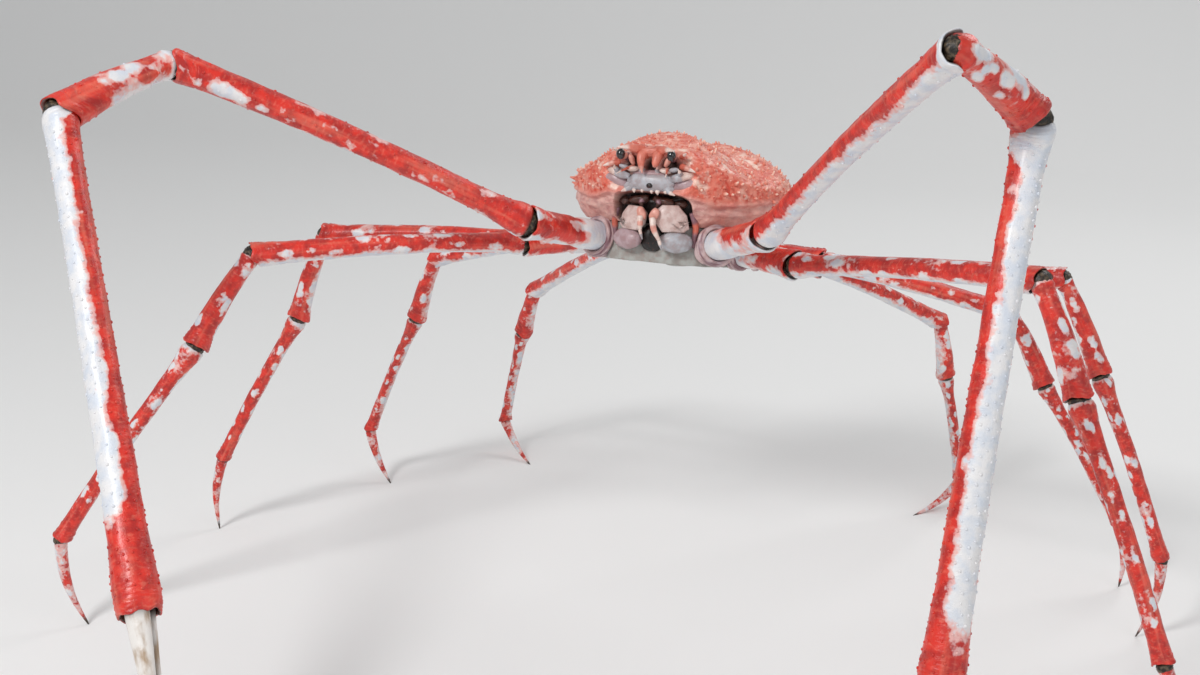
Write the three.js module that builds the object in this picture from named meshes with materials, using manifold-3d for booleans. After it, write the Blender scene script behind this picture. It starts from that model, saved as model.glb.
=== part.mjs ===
// Japanese spider crab, a large male standing on its eight walking legs, life size.
// Lengths are millimetres and angles are degrees. The crab faces -Y, its left side is +X,
// +Z is up, and the floor under its feet is Z = 0.

import * as THREE from 'three';
import { mergeVertices } from 'three/addons/utils/BufferGeometryUtils.js';
import Module from 'manifold-3d';

const wasm = await Module();
wasm.setup();

const { degToRad } = THREE.MathUtils;

// Driving sizes of the stance: the body's reference point lies between the leg roots
const BODY_HEIGHT = 492;
const BODY_TILT = 12.3;
const CENTRE_X = 15.5;
const CENTRE_Y = -261.6;

// Gap between touching pieces, and how far a claw tip is sunk before the floor trims it flat
const GAP = 0.35;
const TIP_SINK = 1.2;

// Driving sizes of the carapace, measured from the body's reference point
const CARAPACE = {
  halfWidth: 147,
  front: 158,
  back: 156,
  middle: 58,
  top: 65,
  bottom: 88,
  underside: 12,
  frontNarrowing: 0.34,
  frontRise: 21,
  backDrop: 20,
};

// Raised and sunken regions of the carapace: place, spread and height of each
const REGIONS = [
  { x: 23, y: -66, spread: 33, height: 10 },
  { x: -23, y: -66, spread: 33, height: 10 },
  { x: 70, y: 51, spread: 50, height: 7 },
  { x: -70, y: 51, spread: 50, height: 7 },
  { x: 0, y: 66, spread: 26, height: 8 },
  { x: 30, y: -18, spread: 20, height: -7 },
  { x: -30, y: -18, spread: 20, height: -7 },
  { x: 114, y: -53, spread: 50, height: -29 },
  { x: -114, y: -53, spread: 50, height: -29 },
];

// Root, segment lengths and segment widths of each pair of limbs, front to back
const PAIRS = [
  {
    root: [74, -85, -12],
    length: { base: 148, merus: 477, carpus: 167, propodus: 604, dactyl: 182 },
    width: { base: 43, merus: 36, carpus: 44, propodus: 39.5, dactyl: 21 },
  },
  {
    root: [94, -45, -15],
    length: { base: 108, merus: 357, carpus: 142, propodus: 313, dactyl: 128 },
    width: { base: 39, merus: 30, carpus: 31, propodus: 24, dactyl: 19 },
  },
  {
    root: [100, 0, -16],
    length: { base: 103, merus: 308, carpus: 135, propodus: 258, dactyl: 115 },
    width: { base: 38, merus: 28, carpus: 28, propodus: 21.5, dactyl: 17.5 },
  },
  {
    root: [92, 45, -15],
    length: { base: 98, merus: 260, carpus: 113, propodus: 229, dactyl: 93 },
    width: { base: 37, merus: 26.5, carpus: 26.5, propodus: 19, dactyl: 16.5 },
  },
  {
    root: [72, 82, -12],
    length: { base: 91, merus: 295, carpus: 92, propodus: 182, dactyl: 100 },
    width: { base: 34, merus: 25.5, carpus: 25.5, propodus: 18, dactyl: 15 },
  },
];
const SEGMENTS = ['base', 'merus', 'carpus', 'propodus', 'dactyl'];

// Pose of the claws: azimuth from straight sideways, plus to the rear, and elevation
const CLAW_POSE = {
  right: { azimuth: [-67, -26.3, -72, -134], elevation: [17, 25.6, -14.2, -49.8] },
  left: { azimuth: [-42.7, -46, 64.7, -95.7], elevation: [18.7, 34.8, -31.2, -66.9] },
};

// Pose of the walking legs. Each bends in one upright plane past its base, and the
// merus is raised or lowered until the tip of the dactyl meets the floor.
const WALKING_POSE = {
  right: [
    { baseAzimuth: -33, azimuth: -36.5, base: 0, carpus: -56, propodus: -53, dactyl: -102 },
    { baseAzimuth: -9, azimuth: -11, base: -4, carpus: -70, propodus: -60, dactyl: -84 },
    { baseAzimuth: 13, azimuth: 14, base: -9, carpus: -67, propodus: -62.5, dactyl: -116 },
    { baseAzimuth: 46, azimuth: 36.5, base: -18, carpus: -63, propodus: -69, dactyl: -148 },
  ],
  left: [
    { baseAzimuth: -26, azimuth: -23.6, base: 0, carpus: -65, propodus: -65, dactyl: -72 },
    { baseAzimuth: -2, azimuth: 3, base: -4, carpus: -66, propodus: -68.5, dactyl: -102 },
    { baseAzimuth: 15, azimuth: 14.2, base: -9, carpus: -63, propodus: -60, dactyl: -86 },
    { baseAzimuth: 46, azimuth: 52.5, base: -18, carpus: -79, propodus: -77, dactyl: -157 },
  ],
};

// Colours of the parts
const SHELL_RED = '#b8442e';
const LEG_RED = '#c23a20';
const UNDERSIDE = '#d9cbb8';
const HORN_WHITE = '#cfc3ae';
const EYE_BLACK = '#0c0b0c';

// Side profiles as [place along the segment from 0 to 1, radius over half the width]
const PROFILES = {
  base: [[0.14, 1.02], [0.36, 1.05], [0.42, 0.9], [0.52, 0.98], [0.84, 1], [0.97, 1.14]],
  merus: [[0.05, 0.84], [0.3, 0.93], [0.65, 1], [0.87, 1.06], [0.97, 1.28]],
  carpus: [[0.1, 0.64], [0.3, 0.88], [0.65, 1.08], [0.96, 1.22]],
  propodus: [[0.03, 0.82], [0.06, 1.22], [0.16, 1.12], [0.5, 0.96], [0.88, 1], [0.98, 1.14]],
  dactyl: [[0.07, 0.84], [0.14, 0.96], [0.4, 0.78], [0.72, 0.45], [0.97, 0.17]],
  palm: [
    [0.012, 0.7], [0.028, 1.22], [0.055, 1.14], [0.13, 0.94],
    [0.6, 1], [0.84, 1.1], [0.95, 1.34], [0.985, 1.28],
  ],
};
const NECKS = { base: 0.84, merus: 0.78, carpus: 0.6, propodus: 0.7, dactyl: 0.8, palm: 0.6 };
const LIPS = { base: 0.1, merus: 0.14, carpus: 0.1, propodus: 0.14, dactyl: 0, palm: 0 };
const BOWS = { base: 0, merus: 0.014, carpus: 0.02, propodus: 0.012, dactyl: 0.07, palm: 0.012 };
const SECTION_DEPTH = 0.9;

// Sides of a round section, and size of the knob at a segment's root against its neck
const CLAW_SIDES = 12;
const LEG_SIDES = 8;
const KNOB = { radius: 0.72, depth: 0.69 };
const RIM_TAPER = 0.92;
const TIP_TAPER = 0.5;

// Every mesh becomes one closed surface: shared vertices merged, collapsed triangles dropped
function closedSurface(geometry) {
  const source = geometry.index ? geometry.toNonIndexed() : geometry.clone();
  source.deleteAttribute('normal');
  source.deleteAttribute('uv');
  const merged = mergeVertices(source, 1e-3);
  const corners = merged.index.array;
  const kept = [];
  for (let i = 0; i < corners.length; i += 3) {
    const [a, b, c] = [corners[i], corners[i + 1], corners[i + 2]];
    if (a !== b && b !== c && c !== a) kept.push(a, b, c);
  }
  merged.setIndex(kept);
  return merged;
}

// Six times the enclosed volume, negative where the faces point inward
function signedVolume(geometry) {
  const place = geometry.attributes.position;
  const corners = geometry.index.array;
  const [a, b, c] = [new THREE.Vector3(), new THREE.Vector3(), new THREE.Vector3()];
  let total = 0;
  for (let i = 0; i < corners.length; i += 3) {
    a.fromBufferAttribute(place, corners[i]);
    b.fromBufferAttribute(place, corners[i + 1]);
    c.fromBufferAttribute(place, corners[i + 2]);
    total += a.dot(b.cross(c));
  }
  return total;
}

function solidFrom(geometry, matrix = new THREE.Matrix4()) {
  const surface = closedSurface(geometry.clone().applyMatrix4(matrix));
  const corners = Uint32Array.from(surface.index.array);
  if (signedVolume(surface) < 0) {
    for (let i = 0; i < corners.length; i += 3) {
      [corners[i + 1], corners[i + 2]] = [corners[i + 2], corners[i + 1]];
    }
  }
  const vertProperties = Float32Array.from(surface.attributes.position.array);
  return new wasm.Manifold(new wasm.Mesh({ numProp: 3, vertProperties, triVerts: corners }));
}

// The largest closed surface of a solid, as a geometry
function geometryFrom(solid) {
  const largest = solid.decompose().sort((a, b) => b.volume() - a.volume())[0];
  const mesh = largest.getMesh();
  const geometry = new THREE.BufferGeometry();
  geometry.setAttribute('position', new THREE.BufferAttribute(Float32Array.from(mesh.vertProperties), 3));
  geometry.setIndex(Array.from(mesh.triVerts));
  return geometry;
}

// A round-sectioned limb segment along +Y from its joint at the origin. It starts with a
// round knob about the joint and ends flat a little past the next joint.
function segmentSurface({ kind, length, width, sides }, grow = 0) {
  const half = width / 2;
  const neck = NECKS[kind] * half + grow;
  const profile = [[0, -neck], [neck * KNOB.radius, -neck * KNOB.depth], [neck, 0]];
  for (const [along, radius] of PROFILES[kind]) {
    profile.push([radius * half + grow, along * length]);
  }
  const end = length + LIPS[kind] * half + grow;
  const taper = kind === 'dactyl' ? TIP_TAPER : RIM_TAPER;
  profile.push([profile.at(-1)[0] * taper, end], [0, end]);
  const surface = new THREE.LatheGeometry(profile.map(([r, y]) => new THREE.Vector2(r, y)), sides);
  const place = surface.attributes.position;
  for (let i = 0; i < place.count; i++) {
    const along = THREE.MathUtils.clamp(place.getY(i) / length, 0, 1);
    const bow = BOWS[kind] * length * Math.sin(Math.PI * along);
    place.setZ(i, place.getZ(i) * SECTION_DEPTH + bow);
  }
  return surface;
}

// A finger of the claw beside the palm's axis, curving in to meet its partner at the tip.
// The moving finger is on the palm's upper side, leaning outward, and starts in its end.
// The fixed one is opposite and starts deeper, where it is fused.
const FINGER = {
  offset: 12.4,
  tipOffset: 3.4,
  bulge: 3,
  rootRadius: 11.2,
  tipRadius: 2.1,
  taper: 0.85,
  depth: 1.12,
  steps: 6,
  lean: 22,
  movingStart: -16,
  fixedStart: -60,
};

function fingerSurface({ length, start, side, sides, isFixed }, grow = 0) {
  const profile = [[0, start - grow]];
  for (let step = 0; step <= FINGER.steps; step++) {
    const along = step / FINGER.steps;
    const radius = THREE.MathUtils.lerp(FINGER.rootRadius, FINGER.tipRadius, along ** FINGER.taper);
    profile.push([radius + grow, start + 2 + (length - start - 4) * along]);
  }
  profile.push([0, length + grow]);
  const surface = new THREE.LatheGeometry(profile.map(([r, y]) => new THREE.Vector2(r, y)), sides);
  const place = surface.attributes.position;
  for (let i = 0; i < place.count; i++) {
    const along = THREE.MathUtils.clamp(place.getY(i) / length, 0, 1);
    const straight = THREE.MathUtils.lerp(FINGER.offset, FINGER.tipOffset, along);
    const offset = straight + FINGER.bulge * Math.sin(Math.PI * along) ** 2;
    place.setX(i, place.getX(i) + offset);
    place.setZ(i, place.getZ(i) * FINGER.depth);
  }
  const upward = -90 - side * FINGER.lean;
  return surface.rotateY(degToRad(isFixed ? upward + 180 : upward));
}

function sidewaysDirection(side, azimuth) {
  const angle = degToRad(azimuth);
  return new THREE.Vector3(side * Math.cos(angle), Math.sin(angle), 0);
}

// Turn whose +Y runs along the segment and whose +Z is its dorsal side
function segmentTurn(side, azimuth, elevation) {
  const angle = degToRad(elevation);
  const outward = sidewaysDirection(side, azimuth);
  const upright = new THREE.Vector3(0, 0, 1);
  const along = outward.clone().multiplyScalar(Math.cos(angle)).addScaledVector(upright, Math.sin(angle));
  const dorsal = outward.clone().multiplyScalar(-Math.sin(angle)).addScaledVector(upright, Math.cos(angle));
  const across = along.clone().cross(dorsal);
  return new THREE.Quaternion().setFromRotationMatrix(new THREE.Matrix4().makeBasis(across, along, dorsal));
}

const bodyTurn = new THREE.Quaternion().setFromAxisAngle(new THREE.Vector3(1, 0, 0), degToRad(-BODY_TILT));
const bodyMatrix = new THREE.Matrix4().compose(
  new THREE.Vector3(0, 0, BODY_HEIGHT),
  bodyTurn,
  new THREE.Vector3(1, 1, 1),
);

function rootPlace(pair, side) {
  const [x, y, z] = pair.root;
  return new THREE.Vector3(side * x, y, z).applyMatrix4(bodyMatrix);
}

// Elevations of a walking leg's segments, with the merus solved so that the tip is on the floor
function walkingElevations(pair, side, pose) {
  const { length } = pair;
  const fixed = ['base', 'carpus', 'propodus', 'dactyl'];
  const fallen = fixed.reduce((sum, name) => sum + length[name] * Math.sin(degToRad(pose[name])), 0);
  const needed = -TIP_SINK - rootPlace(pair, side).z - fallen;
  const merus = THREE.MathUtils.radToDeg(Math.asin(needed / length.merus));
  return [pose.base, merus, pose.carpus, pose.propodus, pose.dactyl];
}

function limbPose(number, sideName, side) {
  const pair = PAIRS[number - 1];
  if (number === 1) {
    const { azimuth, elevation } = CLAW_POSE[sideName];
    return { azimuth: [...azimuth, azimuth[3]], elevation: [...elevation, elevation[3]] };
  }
  const pose = WALKING_POSE[sideName][number - 2];
  const elevation = walkingElevations(pair, side, pose);
  return { azimuth: [pose.baseAzimuth, ...Array(4).fill(pose.azimuth)], elevation };
}

// All segments of one limb, each with its place in the world and its sizes
function limbPieces(number, sideName) {
  const side = sideName === 'left' ? 1 : -1;
  const pair = PAIRS[number - 1];
  const pose = limbPose(number, sideName, side);
  const joint = rootPlace(pair, side);
  return SEGMENTS.map((name, index) => {
    const turn = segmentTurn(side, pose.azimuth[index], pose.elevation[index]);
    const matrix = new THREE.Matrix4().compose(joint, turn, new THREE.Vector3(1, 1, 1));
    const length = pair.length[name];
    joint.add(new THREE.Vector3(0, length, 0).applyQuaternion(turn));
    const kind = number === 1 && name === 'propodus' ? 'palm' : name;
    const sides = number === 1 ? CLAW_SIDES : LEG_SIDES;
    return { name, kind, number, side, matrix, length, width: pair.width[name], sides };
  });
}

function pieceSurface(piece, grow = 0) {
  const isFinger = piece.number === 1 && piece.name === 'dactyl';
  if (isFinger) return fingerSurface({ ...piece, start: FINGER.movingStart }, grow);
  return segmentSurface(piece, grow);
}

// The floor as a thick block under one claw tip
const FLOOR = { width: 400, depth: 100 };

// Each piece gives way to the next one out, which keeps its own full shape
function limbGeometry(piece, next) {
  let solid = solidFrom(pieceSurface(piece));
  if (piece.kind === 'palm') {
    const fixed = { ...next, start: FINGER.fixedStart, isFixed: true };
    const place = new THREE.Matrix4().makeTranslation(0, piece.length, 0);
    solid = solid.add(solidFrom(fingerSurface(fixed), place));
  }
  const toLocal = piece.matrix.clone().invert();
  if (next) {
    solid = solid.subtract(solidFrom(pieceSurface(next, GAP), toLocal.clone().multiply(next.matrix)));
  } else {
    const ground = new THREE.BoxGeometry(FLOOR.width, FLOOR.width, FLOOR.depth);
    const centre = new THREE.Vector3().setFromMatrixPosition(piece.matrix).setZ(-FLOOR.depth / 2);
    const below = new THREE.Matrix4().setPosition(centre);
    solid = solid.subtract(solidFrom(ground, toLocal.clone().multiply(below)));
  }
  return geometryFrom(solid);
}

function regionHeight(x, y) {
  return REGIONS.reduce((sum, region) => {
    const distance = ((x - region.x) ** 2 + (y - region.y) ** 2) / region.spread ** 2;
    return sum + region.height * Math.exp(-distance);
  }, 0);
}

// Point of the carapace for a direction from its middle, in the body's own frame
const FULLNESS = 0.92;

function carapacePoint(nx, ny, nz) {
  const full = (value) => Math.sign(value) * Math.abs(value) ** FULLNESS;
  const forward = Math.max(-ny, 0);
  const rearward = Math.max(ny, 0);
  const y = ny * (ny < 0 ? CARAPACE.front : CARAPACE.back);
  const x = full(nx) * CARAPACE.halfWidth * (1 - CARAPACE.frontNarrowing * forward ** 2);
  const centre = CARAPACE.middle + CARAPACE.frontRise * forward ** 2 - CARAPACE.backDrop * rearward ** 2;
  const rise = nz > 0 ? full(nz) * (CARAPACE.top + regionHeight(x, y)) : full(nz) * CARAPACE.bottom;
  return new THREE.Vector3(x, y, Math.max(centre + rise, CARAPACE.underside));
}

function carapaceShell() {
  const surface = new THREE.SphereGeometry(1, 30, 18);
  const place = surface.attributes.position;
  for (let i = 0; i < place.count; i++) {
    const point = carapacePoint(place.getX(i), place.getY(i), place.getZ(i));
    place.setXYZ(i, point.x, point.y, point.z);
  }
  return surface;
}

// A tapering round spike from a sunk root to a blunt tip
function spike(from, to, rootRadius, tipRadius, sides) {
  const axis = to.clone().sub(from);
  const surface = new THREE.CylinderGeometry(tipRadius, rootRadius, axis.length(), sides);
  surface.translate(0, axis.length() / 2, 0);
  const turn = new THREE.Quaternion().setFromUnitVectors(new THREE.Vector3(0, 1, 0), axis.normalize());
  return surface.applyMatrix4(new THREE.Matrix4().compose(from, turn, new THREE.Vector3(1, 1, 1)));
}

// The two horns of the snout hang down over the face, and a spine stands out over each eye
const ROSTRAL_HORN = { root: [12, -139, 104], tip: [10.5, -151, 75], rootRadius: 8.5, tipRadius: 1.2 };
const BROW_SPINE = { root: [13, -137, 103], tip: [42, -158, 106], rootRadius: 7, tipRadius: 1.1 };
const HORN_SIDES = 8;

// Blunt spines over the back and sides, longest along the side margin. Each leans forward
// and up, and its height and root are drawn within a range about their size.
const SPINES = {
  count: 104,
  tries: 6000,
  seed: 11,
  spacing: 25,
  height: 9,
  marginHeight: 14,
  marginTop: 0.25,
  lowest: -0.12,
  foremost: -0.78,
  rearmost: 0.92,
  sunk: 5,
  rootRadius: 4.6,
  tipRadius: 0.8,
  sides: 5,
};
const SPINE_LEAN = new THREE.Vector3(0, -0.25, 0.2);
const EYE = { x: 35, y: -149, z: 97, radius: 6.4, stalkRadius: 5, stalkLength: 16, socketRadius: 10.5 };
const EYE_LOOK = [0.35, -1, 0.15];
const ANTENNA = { root: [24, -136, 84], tip: [33, -172, 72], rootRadius: 2.6, tipRadius: 0.6 };

function seededRandom(seed) {
  let state = seed;
  return () => {
    state = (state * 1664525 + 1013904223) % 4294967296;
    return state / 4294967296;
  };
}

// Outward normal of the carapace, from two neighbouring directions
function carapaceNormal(direction) {
  const sideways = new THREE.Vector3(0, 1, 0).cross(direction).normalize();
  const upward = direction.clone().cross(sideways).normalize();
  const nearby = (step) => {
    const turned = direction.clone().addScaledVector(step, 0.03).normalize();
    return carapacePoint(turned.x, turned.y, turned.z);
  };
  const centre = carapacePoint(direction.x, direction.y, direction.z);
  return nearby(sideways).sub(centre).cross(nearby(upward).sub(centre)).normalize();
}

// Directions spread at random over the upper shell, none too near another
function spineDirections() {
  const random = seededRandom(SPINES.seed);
  const chosen = [];
  for (let tries = 0; tries < SPINES.tries && chosen.length < SPINES.count; tries++) {
    const y = THREE.MathUtils.lerp(SPINES.foremost, SPINES.rearmost, random());
    const turn = random() * Math.PI * 2;
    const ring = Math.sqrt(Math.max(1 - y * y, 0));
    const direction = new THREE.Vector3(ring * Math.cos(turn), y, ring * Math.sin(turn)).normalize();
    const point = carapacePoint(direction.x, direction.y, direction.z);
    const isFree = chosen.every((other) => other.point.distanceTo(point) > SPINES.spacing);
    if (direction.z > SPINES.lowest && isFree) chosen.push({ direction, point, draw: random() });
  }
  return chosen;
}

function carapaceSpines() {
  return spineDirections().map(({ direction, point, draw }) => {
    const isMargin = direction.z < SPINES.marginTop;
    const height = (isMargin ? SPINES.marginHeight : SPINES.height) * (0.75 + 0.5 * draw);
    const normal = carapaceNormal(direction);
    const lean = SPINE_LEAN.clone().add(normal).normalize();
    const root = point.clone().addScaledVector(normal, -SPINES.sunk);
    const tip = point.clone().addScaledVector(lean, height);
    const rootRadius = SPINES.rootRadius * (0.85 + 0.3 * draw);
    return spike(root, tip, rootRadius, SPINES.tipRadius, SPINES.sides);
  });
}

function mirrored(point, side) {
  return new THREE.Vector3(side * point[0], point[1], point[2]);
}

// Eye and its stalk, along the line from inside the head to the eye
function eyeSurface(side, grow = 0) {
  const profile = [
    [0, -EYE.stalkLength - grow],
    [EYE.stalkRadius + grow, -EYE.stalkLength - grow],
    [EYE.stalkRadius + grow, -EYE.radius * 0.7],
  ];
  for (let step = 1; step <= 6; step++) {
    const angle = degToRad(-40 + (130 * step) / 6);
    const radius = EYE.radius + grow;
    profile.push([Math.max(radius * Math.cos(angle), 0), radius * Math.sin(angle)]);
  }
  profile[profile.length - 1][0] = 0;
  const surface = new THREE.LatheGeometry(profile.map(([r, y]) => new THREE.Vector2(r, y)), 12);
  const outward = mirrored(EYE_LOOK, side).normalize();
  const turn = new THREE.Quaternion().setFromUnitVectors(new THREE.Vector3(0, 1, 0), outward);
  return surface.applyMatrix4(
    new THREE.Matrix4().compose(mirrored([EYE.x, EYE.y, EYE.z], side), turn, new THREE.Vector3(1, 1, 1)),
  );
}

function antennaSurface(side, grow = 0) {
  const root = mirrored(ANTENNA.root, side);
  const tip = mirrored(ANTENNA.tip, side);
  return spike(root, tip, ANTENNA.rootRadius + grow, ANTENNA.tipRadius + grow, 7);
}

// One of the two plates that close the mouth, set in a shallow V that points forward
const MOUTH_PLATE = {
  x: 27,
  y: -121,
  z: 10,
  halfWidth: 23.5,
  halfDepth: 11,
  halfHeight: 28,
  yaw: 22,
  squareness: 0.6,
};

function mouthPlateSurface(side, grow = 0) {
  const surface = new THREE.SphereGeometry(1, 12, 8);
  const place = surface.attributes.position;
  const square = (value) => Math.sign(value) * Math.abs(value) ** MOUTH_PLATE.squareness;
  const { halfWidth, halfDepth, halfHeight } = MOUTH_PLATE;
  for (let i = 0; i < place.count; i++) {
    const x = square(place.getX(i)) * (halfWidth + grow);
    const y = square(place.getY(i)) * (halfDepth + grow);
    const z = square(place.getZ(i)) * (halfHeight + grow);
    place.setXYZ(i, x, y, z);
  }
  surface.rotateZ(side * degToRad(MOUTH_PLATE.yaw));
  return surface.translate(side * MOUTH_PLATE.x, MOUTH_PLATE.y, MOUTH_PLATE.z);
}

// Breast plate between the leg roots, with a chamfer round its lower edge
const STERNUM = { top: CARAPACE.underside - GAP, bottom: -38, chamferDepth: 10, chamferWidth: 14 };
const STERNUM_OUTLINE = [
  [34, -112], [58, -104], [76, -84], [93, -45], [99, 0], [91, 45], [70, 84], [44, 104],
];

function sternumSurface() {
  const left = STERNUM_OUTLINE.map(([x, y]) => new THREE.Vector2(x, y));
  const right = STERNUM_OUTLINE.map(([x, y]) => new THREE.Vector2(-x, y)).reverse();
  const surface = new THREE.ExtrudeGeometry(new THREE.Shape([...left, ...right]), {
    depth: STERNUM.top - STERNUM.bottom - STERNUM.chamferDepth,
    bevelThickness: STERNUM.chamferDepth,
    bevelSize: STERNUM.chamferWidth,
    bevelOffset: -STERNUM.chamferWidth,
    bevelSegments: 2,
  });
  surface.translate(0, 0, STERNUM.bottom + STERNUM.chamferDepth);
  const place = surface.attributes.position;
  for (let i = 0; i < place.count; i++) place.setZ(i, Math.min(place.getZ(i), STERNUM.top));
  return surface;
}

// Tail folded flat under the breast plate, narrowing from its root to its tip
const ABDOMEN = { rootHalf: 31, narrowing: 20, root: 92, length: 110, rings: 6, depth: 3, edge: 3 };

function abdomenSurface() {
  const left = [];
  for (let ring = 0; ring <= ABDOMEN.rings; ring++) {
    const along = ring / ABDOMEN.rings;
    const half = ABDOMEN.rootHalf - ABDOMEN.narrowing * along ** 1.3;
    left.push(new THREE.Vector2(half, ABDOMEN.root - ABDOMEN.length * along));
  }
  const right = left.map((point) => new THREE.Vector2(-point.x, point.y)).reverse();
  const surface = new THREE.ExtrudeGeometry(new THREE.Shape([...left, ...right]), {
    depth: ABDOMEN.depth,
    bevelThickness: ABDOMEN.edge,
    bevelSize: ABDOMEN.edge,
    bevelSegments: 1,
  });
  return surface.translate(0, 0, STERNUM.bottom - GAP - ABDOMEN.depth - ABDOMEN.edge);
}

const limbs = [];
for (const sideName of ['left', 'right']) {
  for (let number = 1; number <= PAIRS.length; number++) {
    limbs.push({ sideName, number, pieces: limbPieces(number, sideName) });
  }
}

// The leg bases in the body's own frame, a little grown, to cut their sockets
const toBody = bodyMatrix.clone().invert();
function cutLegSockets(solid) {
  return limbs.reduce((rest, limb) => {
    const base = limb.pieces[0];
    return rest.subtract(solidFrom(pieceSurface(base, GAP), toBody.clone().multiply(base.matrix)));
  }, solid);
}

function cutBoth(solid, surfaceOf) {
  return solid.subtract(solidFrom(surfaceOf(1, GAP))).subtract(solidFrom(surfaceOf(-1, GAP)));
}

function carapaceGeometry() {
  let solid = solidFrom(carapaceShell());
  for (const side of [-1, 1]) {
    for (const horn of [ROSTRAL_HORN, BROW_SPINE]) {
      const root = mirrored(horn.root, side);
      const tip = mirrored(horn.tip, side);
      solid = solid.add(solidFrom(spike(root, tip, horn.rootRadius, horn.tipRadius, HORN_SIDES)));
    }
    const orbit = new THREE.SphereGeometry(EYE.socketRadius, 10, 7);
    orbit.translate(side * (EYE.x + 1), EYE.y - 3, EYE.z - 1);
    solid = solid.subtract(solidFrom(orbit));
  }
  for (const spine of carapaceSpines()) solid = solid.add(solidFrom(spine));
  solid = cutBoth(solid, eyeSurface);
  solid = cutBoth(solid, antennaSurface);
  solid = cutBoth(solid, mouthPlateSurface);
  return geometryFrom(cutLegSockets(solid));
}

function sternumGeometry() {
  return geometryFrom(cutLegSockets(cutBoth(solidFrom(sternumSurface()), mouthPlateSurface)));
}

function namedMesh(name, geometry, colour, roughness) {
  const material = new THREE.MeshStandardMaterial({ color: colour, roughness, metalness: 0 });
  const mesh = new THREE.Mesh(closedSurface(geometry), material);
  if (signedVolume(mesh.geometry) < 0) {
    const corners = mesh.geometry.index.array;
    for (let i = 0; i < corners.length; i += 3) {
      [corners[i + 1], corners[i + 2]] = [corners[i + 2], corners[i + 1]];
    }
  }
  mesh.name = name;
  return mesh;
}

const crab = new THREE.Group();
crab.position.set(-CENTRE_X, -CENTRE_Y, 0);

// Head and body
const body = new THREE.Group();
body.position.set(0, 0, BODY_HEIGHT);
body.quaternion.copy(bodyTurn);
crab.add(body);
body.add(namedMesh('carapace', carapaceGeometry(), SHELL_RED, 0.6));
body.add(namedMesh('sternum', sternumGeometry(), UNDERSIDE, 0.55));
body.add(namedMesh('abdomen', abdomenSurface(), UNDERSIDE, 0.55));
for (const [sideName, side] of [['left', 1], ['right', -1]]) {
  body.add(namedMesh(`eye_${sideName}`, eyeSurface(side), EYE_BLACK, 0.1));
  body.add(namedMesh(`antenna_${sideName}`, antennaSurface(side), LEG_RED, 0.5));
  body.add(namedMesh(`mouth_plate_${sideName}`, mouthPlateSurface(side), UNDERSIDE, 0.5));
}

// Limbs, each segment in a group nested in the one before it
for (const { sideName, number, pieces } of limbs) {
  let parent = crab;
  let parentMatrix = new THREE.Matrix4();
  pieces.forEach((piece, index) => {
    const group = new THREE.Group();
    const local = parentMatrix.clone().invert().multiply(piece.matrix);
    local.decompose(group.position, group.quaternion, group.scale);
    group.scale.set(1, 1, 1);
    const limbName = number === 1 ? 'claw' : `leg${number}`;
    const colour = number === 1 && piece.name === 'dactyl' ? HORN_WHITE : LEG_RED;
    const geometry = limbGeometry(piece, pieces[index + 1]);
    group.add(namedMesh(`${limbName}_${sideName}_${piece.name}`, geometry, colour, 0.45));
    parent.add(group);
    parent = group;
    parentMatrix = piece.matrix;
  });
}

export default crab;
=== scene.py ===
# %% [markdown]
# # A Japanese spider crab, life size
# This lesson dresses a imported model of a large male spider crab. The frame holds its solids, in metres, with
# the floor at Z = 0 and the crab facing -Y. Each limb segment, plate and spine is remade finely here and stands
# exactly where its solid is.

# %% Load the frame
import math
import random

import bmesh
import bpy
from mathutils import Matrix, Vector, noise


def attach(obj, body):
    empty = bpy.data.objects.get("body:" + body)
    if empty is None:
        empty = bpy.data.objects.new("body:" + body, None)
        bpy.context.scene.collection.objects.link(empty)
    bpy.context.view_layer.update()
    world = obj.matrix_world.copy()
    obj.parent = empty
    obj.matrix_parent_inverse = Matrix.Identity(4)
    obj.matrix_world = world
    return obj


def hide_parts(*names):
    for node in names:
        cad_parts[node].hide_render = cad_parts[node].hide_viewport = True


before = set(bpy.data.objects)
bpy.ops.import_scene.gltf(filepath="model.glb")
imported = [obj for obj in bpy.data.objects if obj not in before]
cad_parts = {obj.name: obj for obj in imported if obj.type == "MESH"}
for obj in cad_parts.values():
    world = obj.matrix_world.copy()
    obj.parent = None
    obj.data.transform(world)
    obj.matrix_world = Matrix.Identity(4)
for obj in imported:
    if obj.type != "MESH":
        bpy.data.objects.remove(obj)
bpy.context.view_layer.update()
MM = 0.001
FULL_TURN = 2 * math.pi

# %% [markdown]
# The camera stands a little to the crab's left and looks slightly down on it, as the photographer did. Its place
# is given from the point between the leg roots, where the whole pose was measured from.

# %% Stance and camera
BODY_TILT = math.radians(12.3)
BODY_CENTRE = Vector((-15.5, 261.6, 492)) * MM
CAMERA_FROM_BODY = Vector((0.784, -2.262, 0.561))
CAMERA_YAW = math.radians(21.68)
CAMERA_PITCH = math.radians(-16.5)
SENSOR_WIDTH = 36
FOCAL_PIXELS = 1811
PHOTO_WIDTH = 1200

camera_data = bpy.data.cameras.new("camera")
camera_data.sensor_width = SENSOR_WIDTH
camera_data.lens = SENSOR_WIDTH * FOCAL_PIXELS / PHOTO_WIDTH
camera = bpy.data.objects.new("camera", camera_data)
camera.location = BODY_CENTRE + CAMERA_FROM_BODY
camera.rotation_euler = (math.radians(90) + CAMERA_PITCH, 0, CAMERA_YAW)
bpy.context.collection.objects.link(camera)
bpy.context.scene.camera = camera
print("camera", [round(v, 3) for v in camera.location], "lens", round(camera_data.lens, 1))

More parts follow.
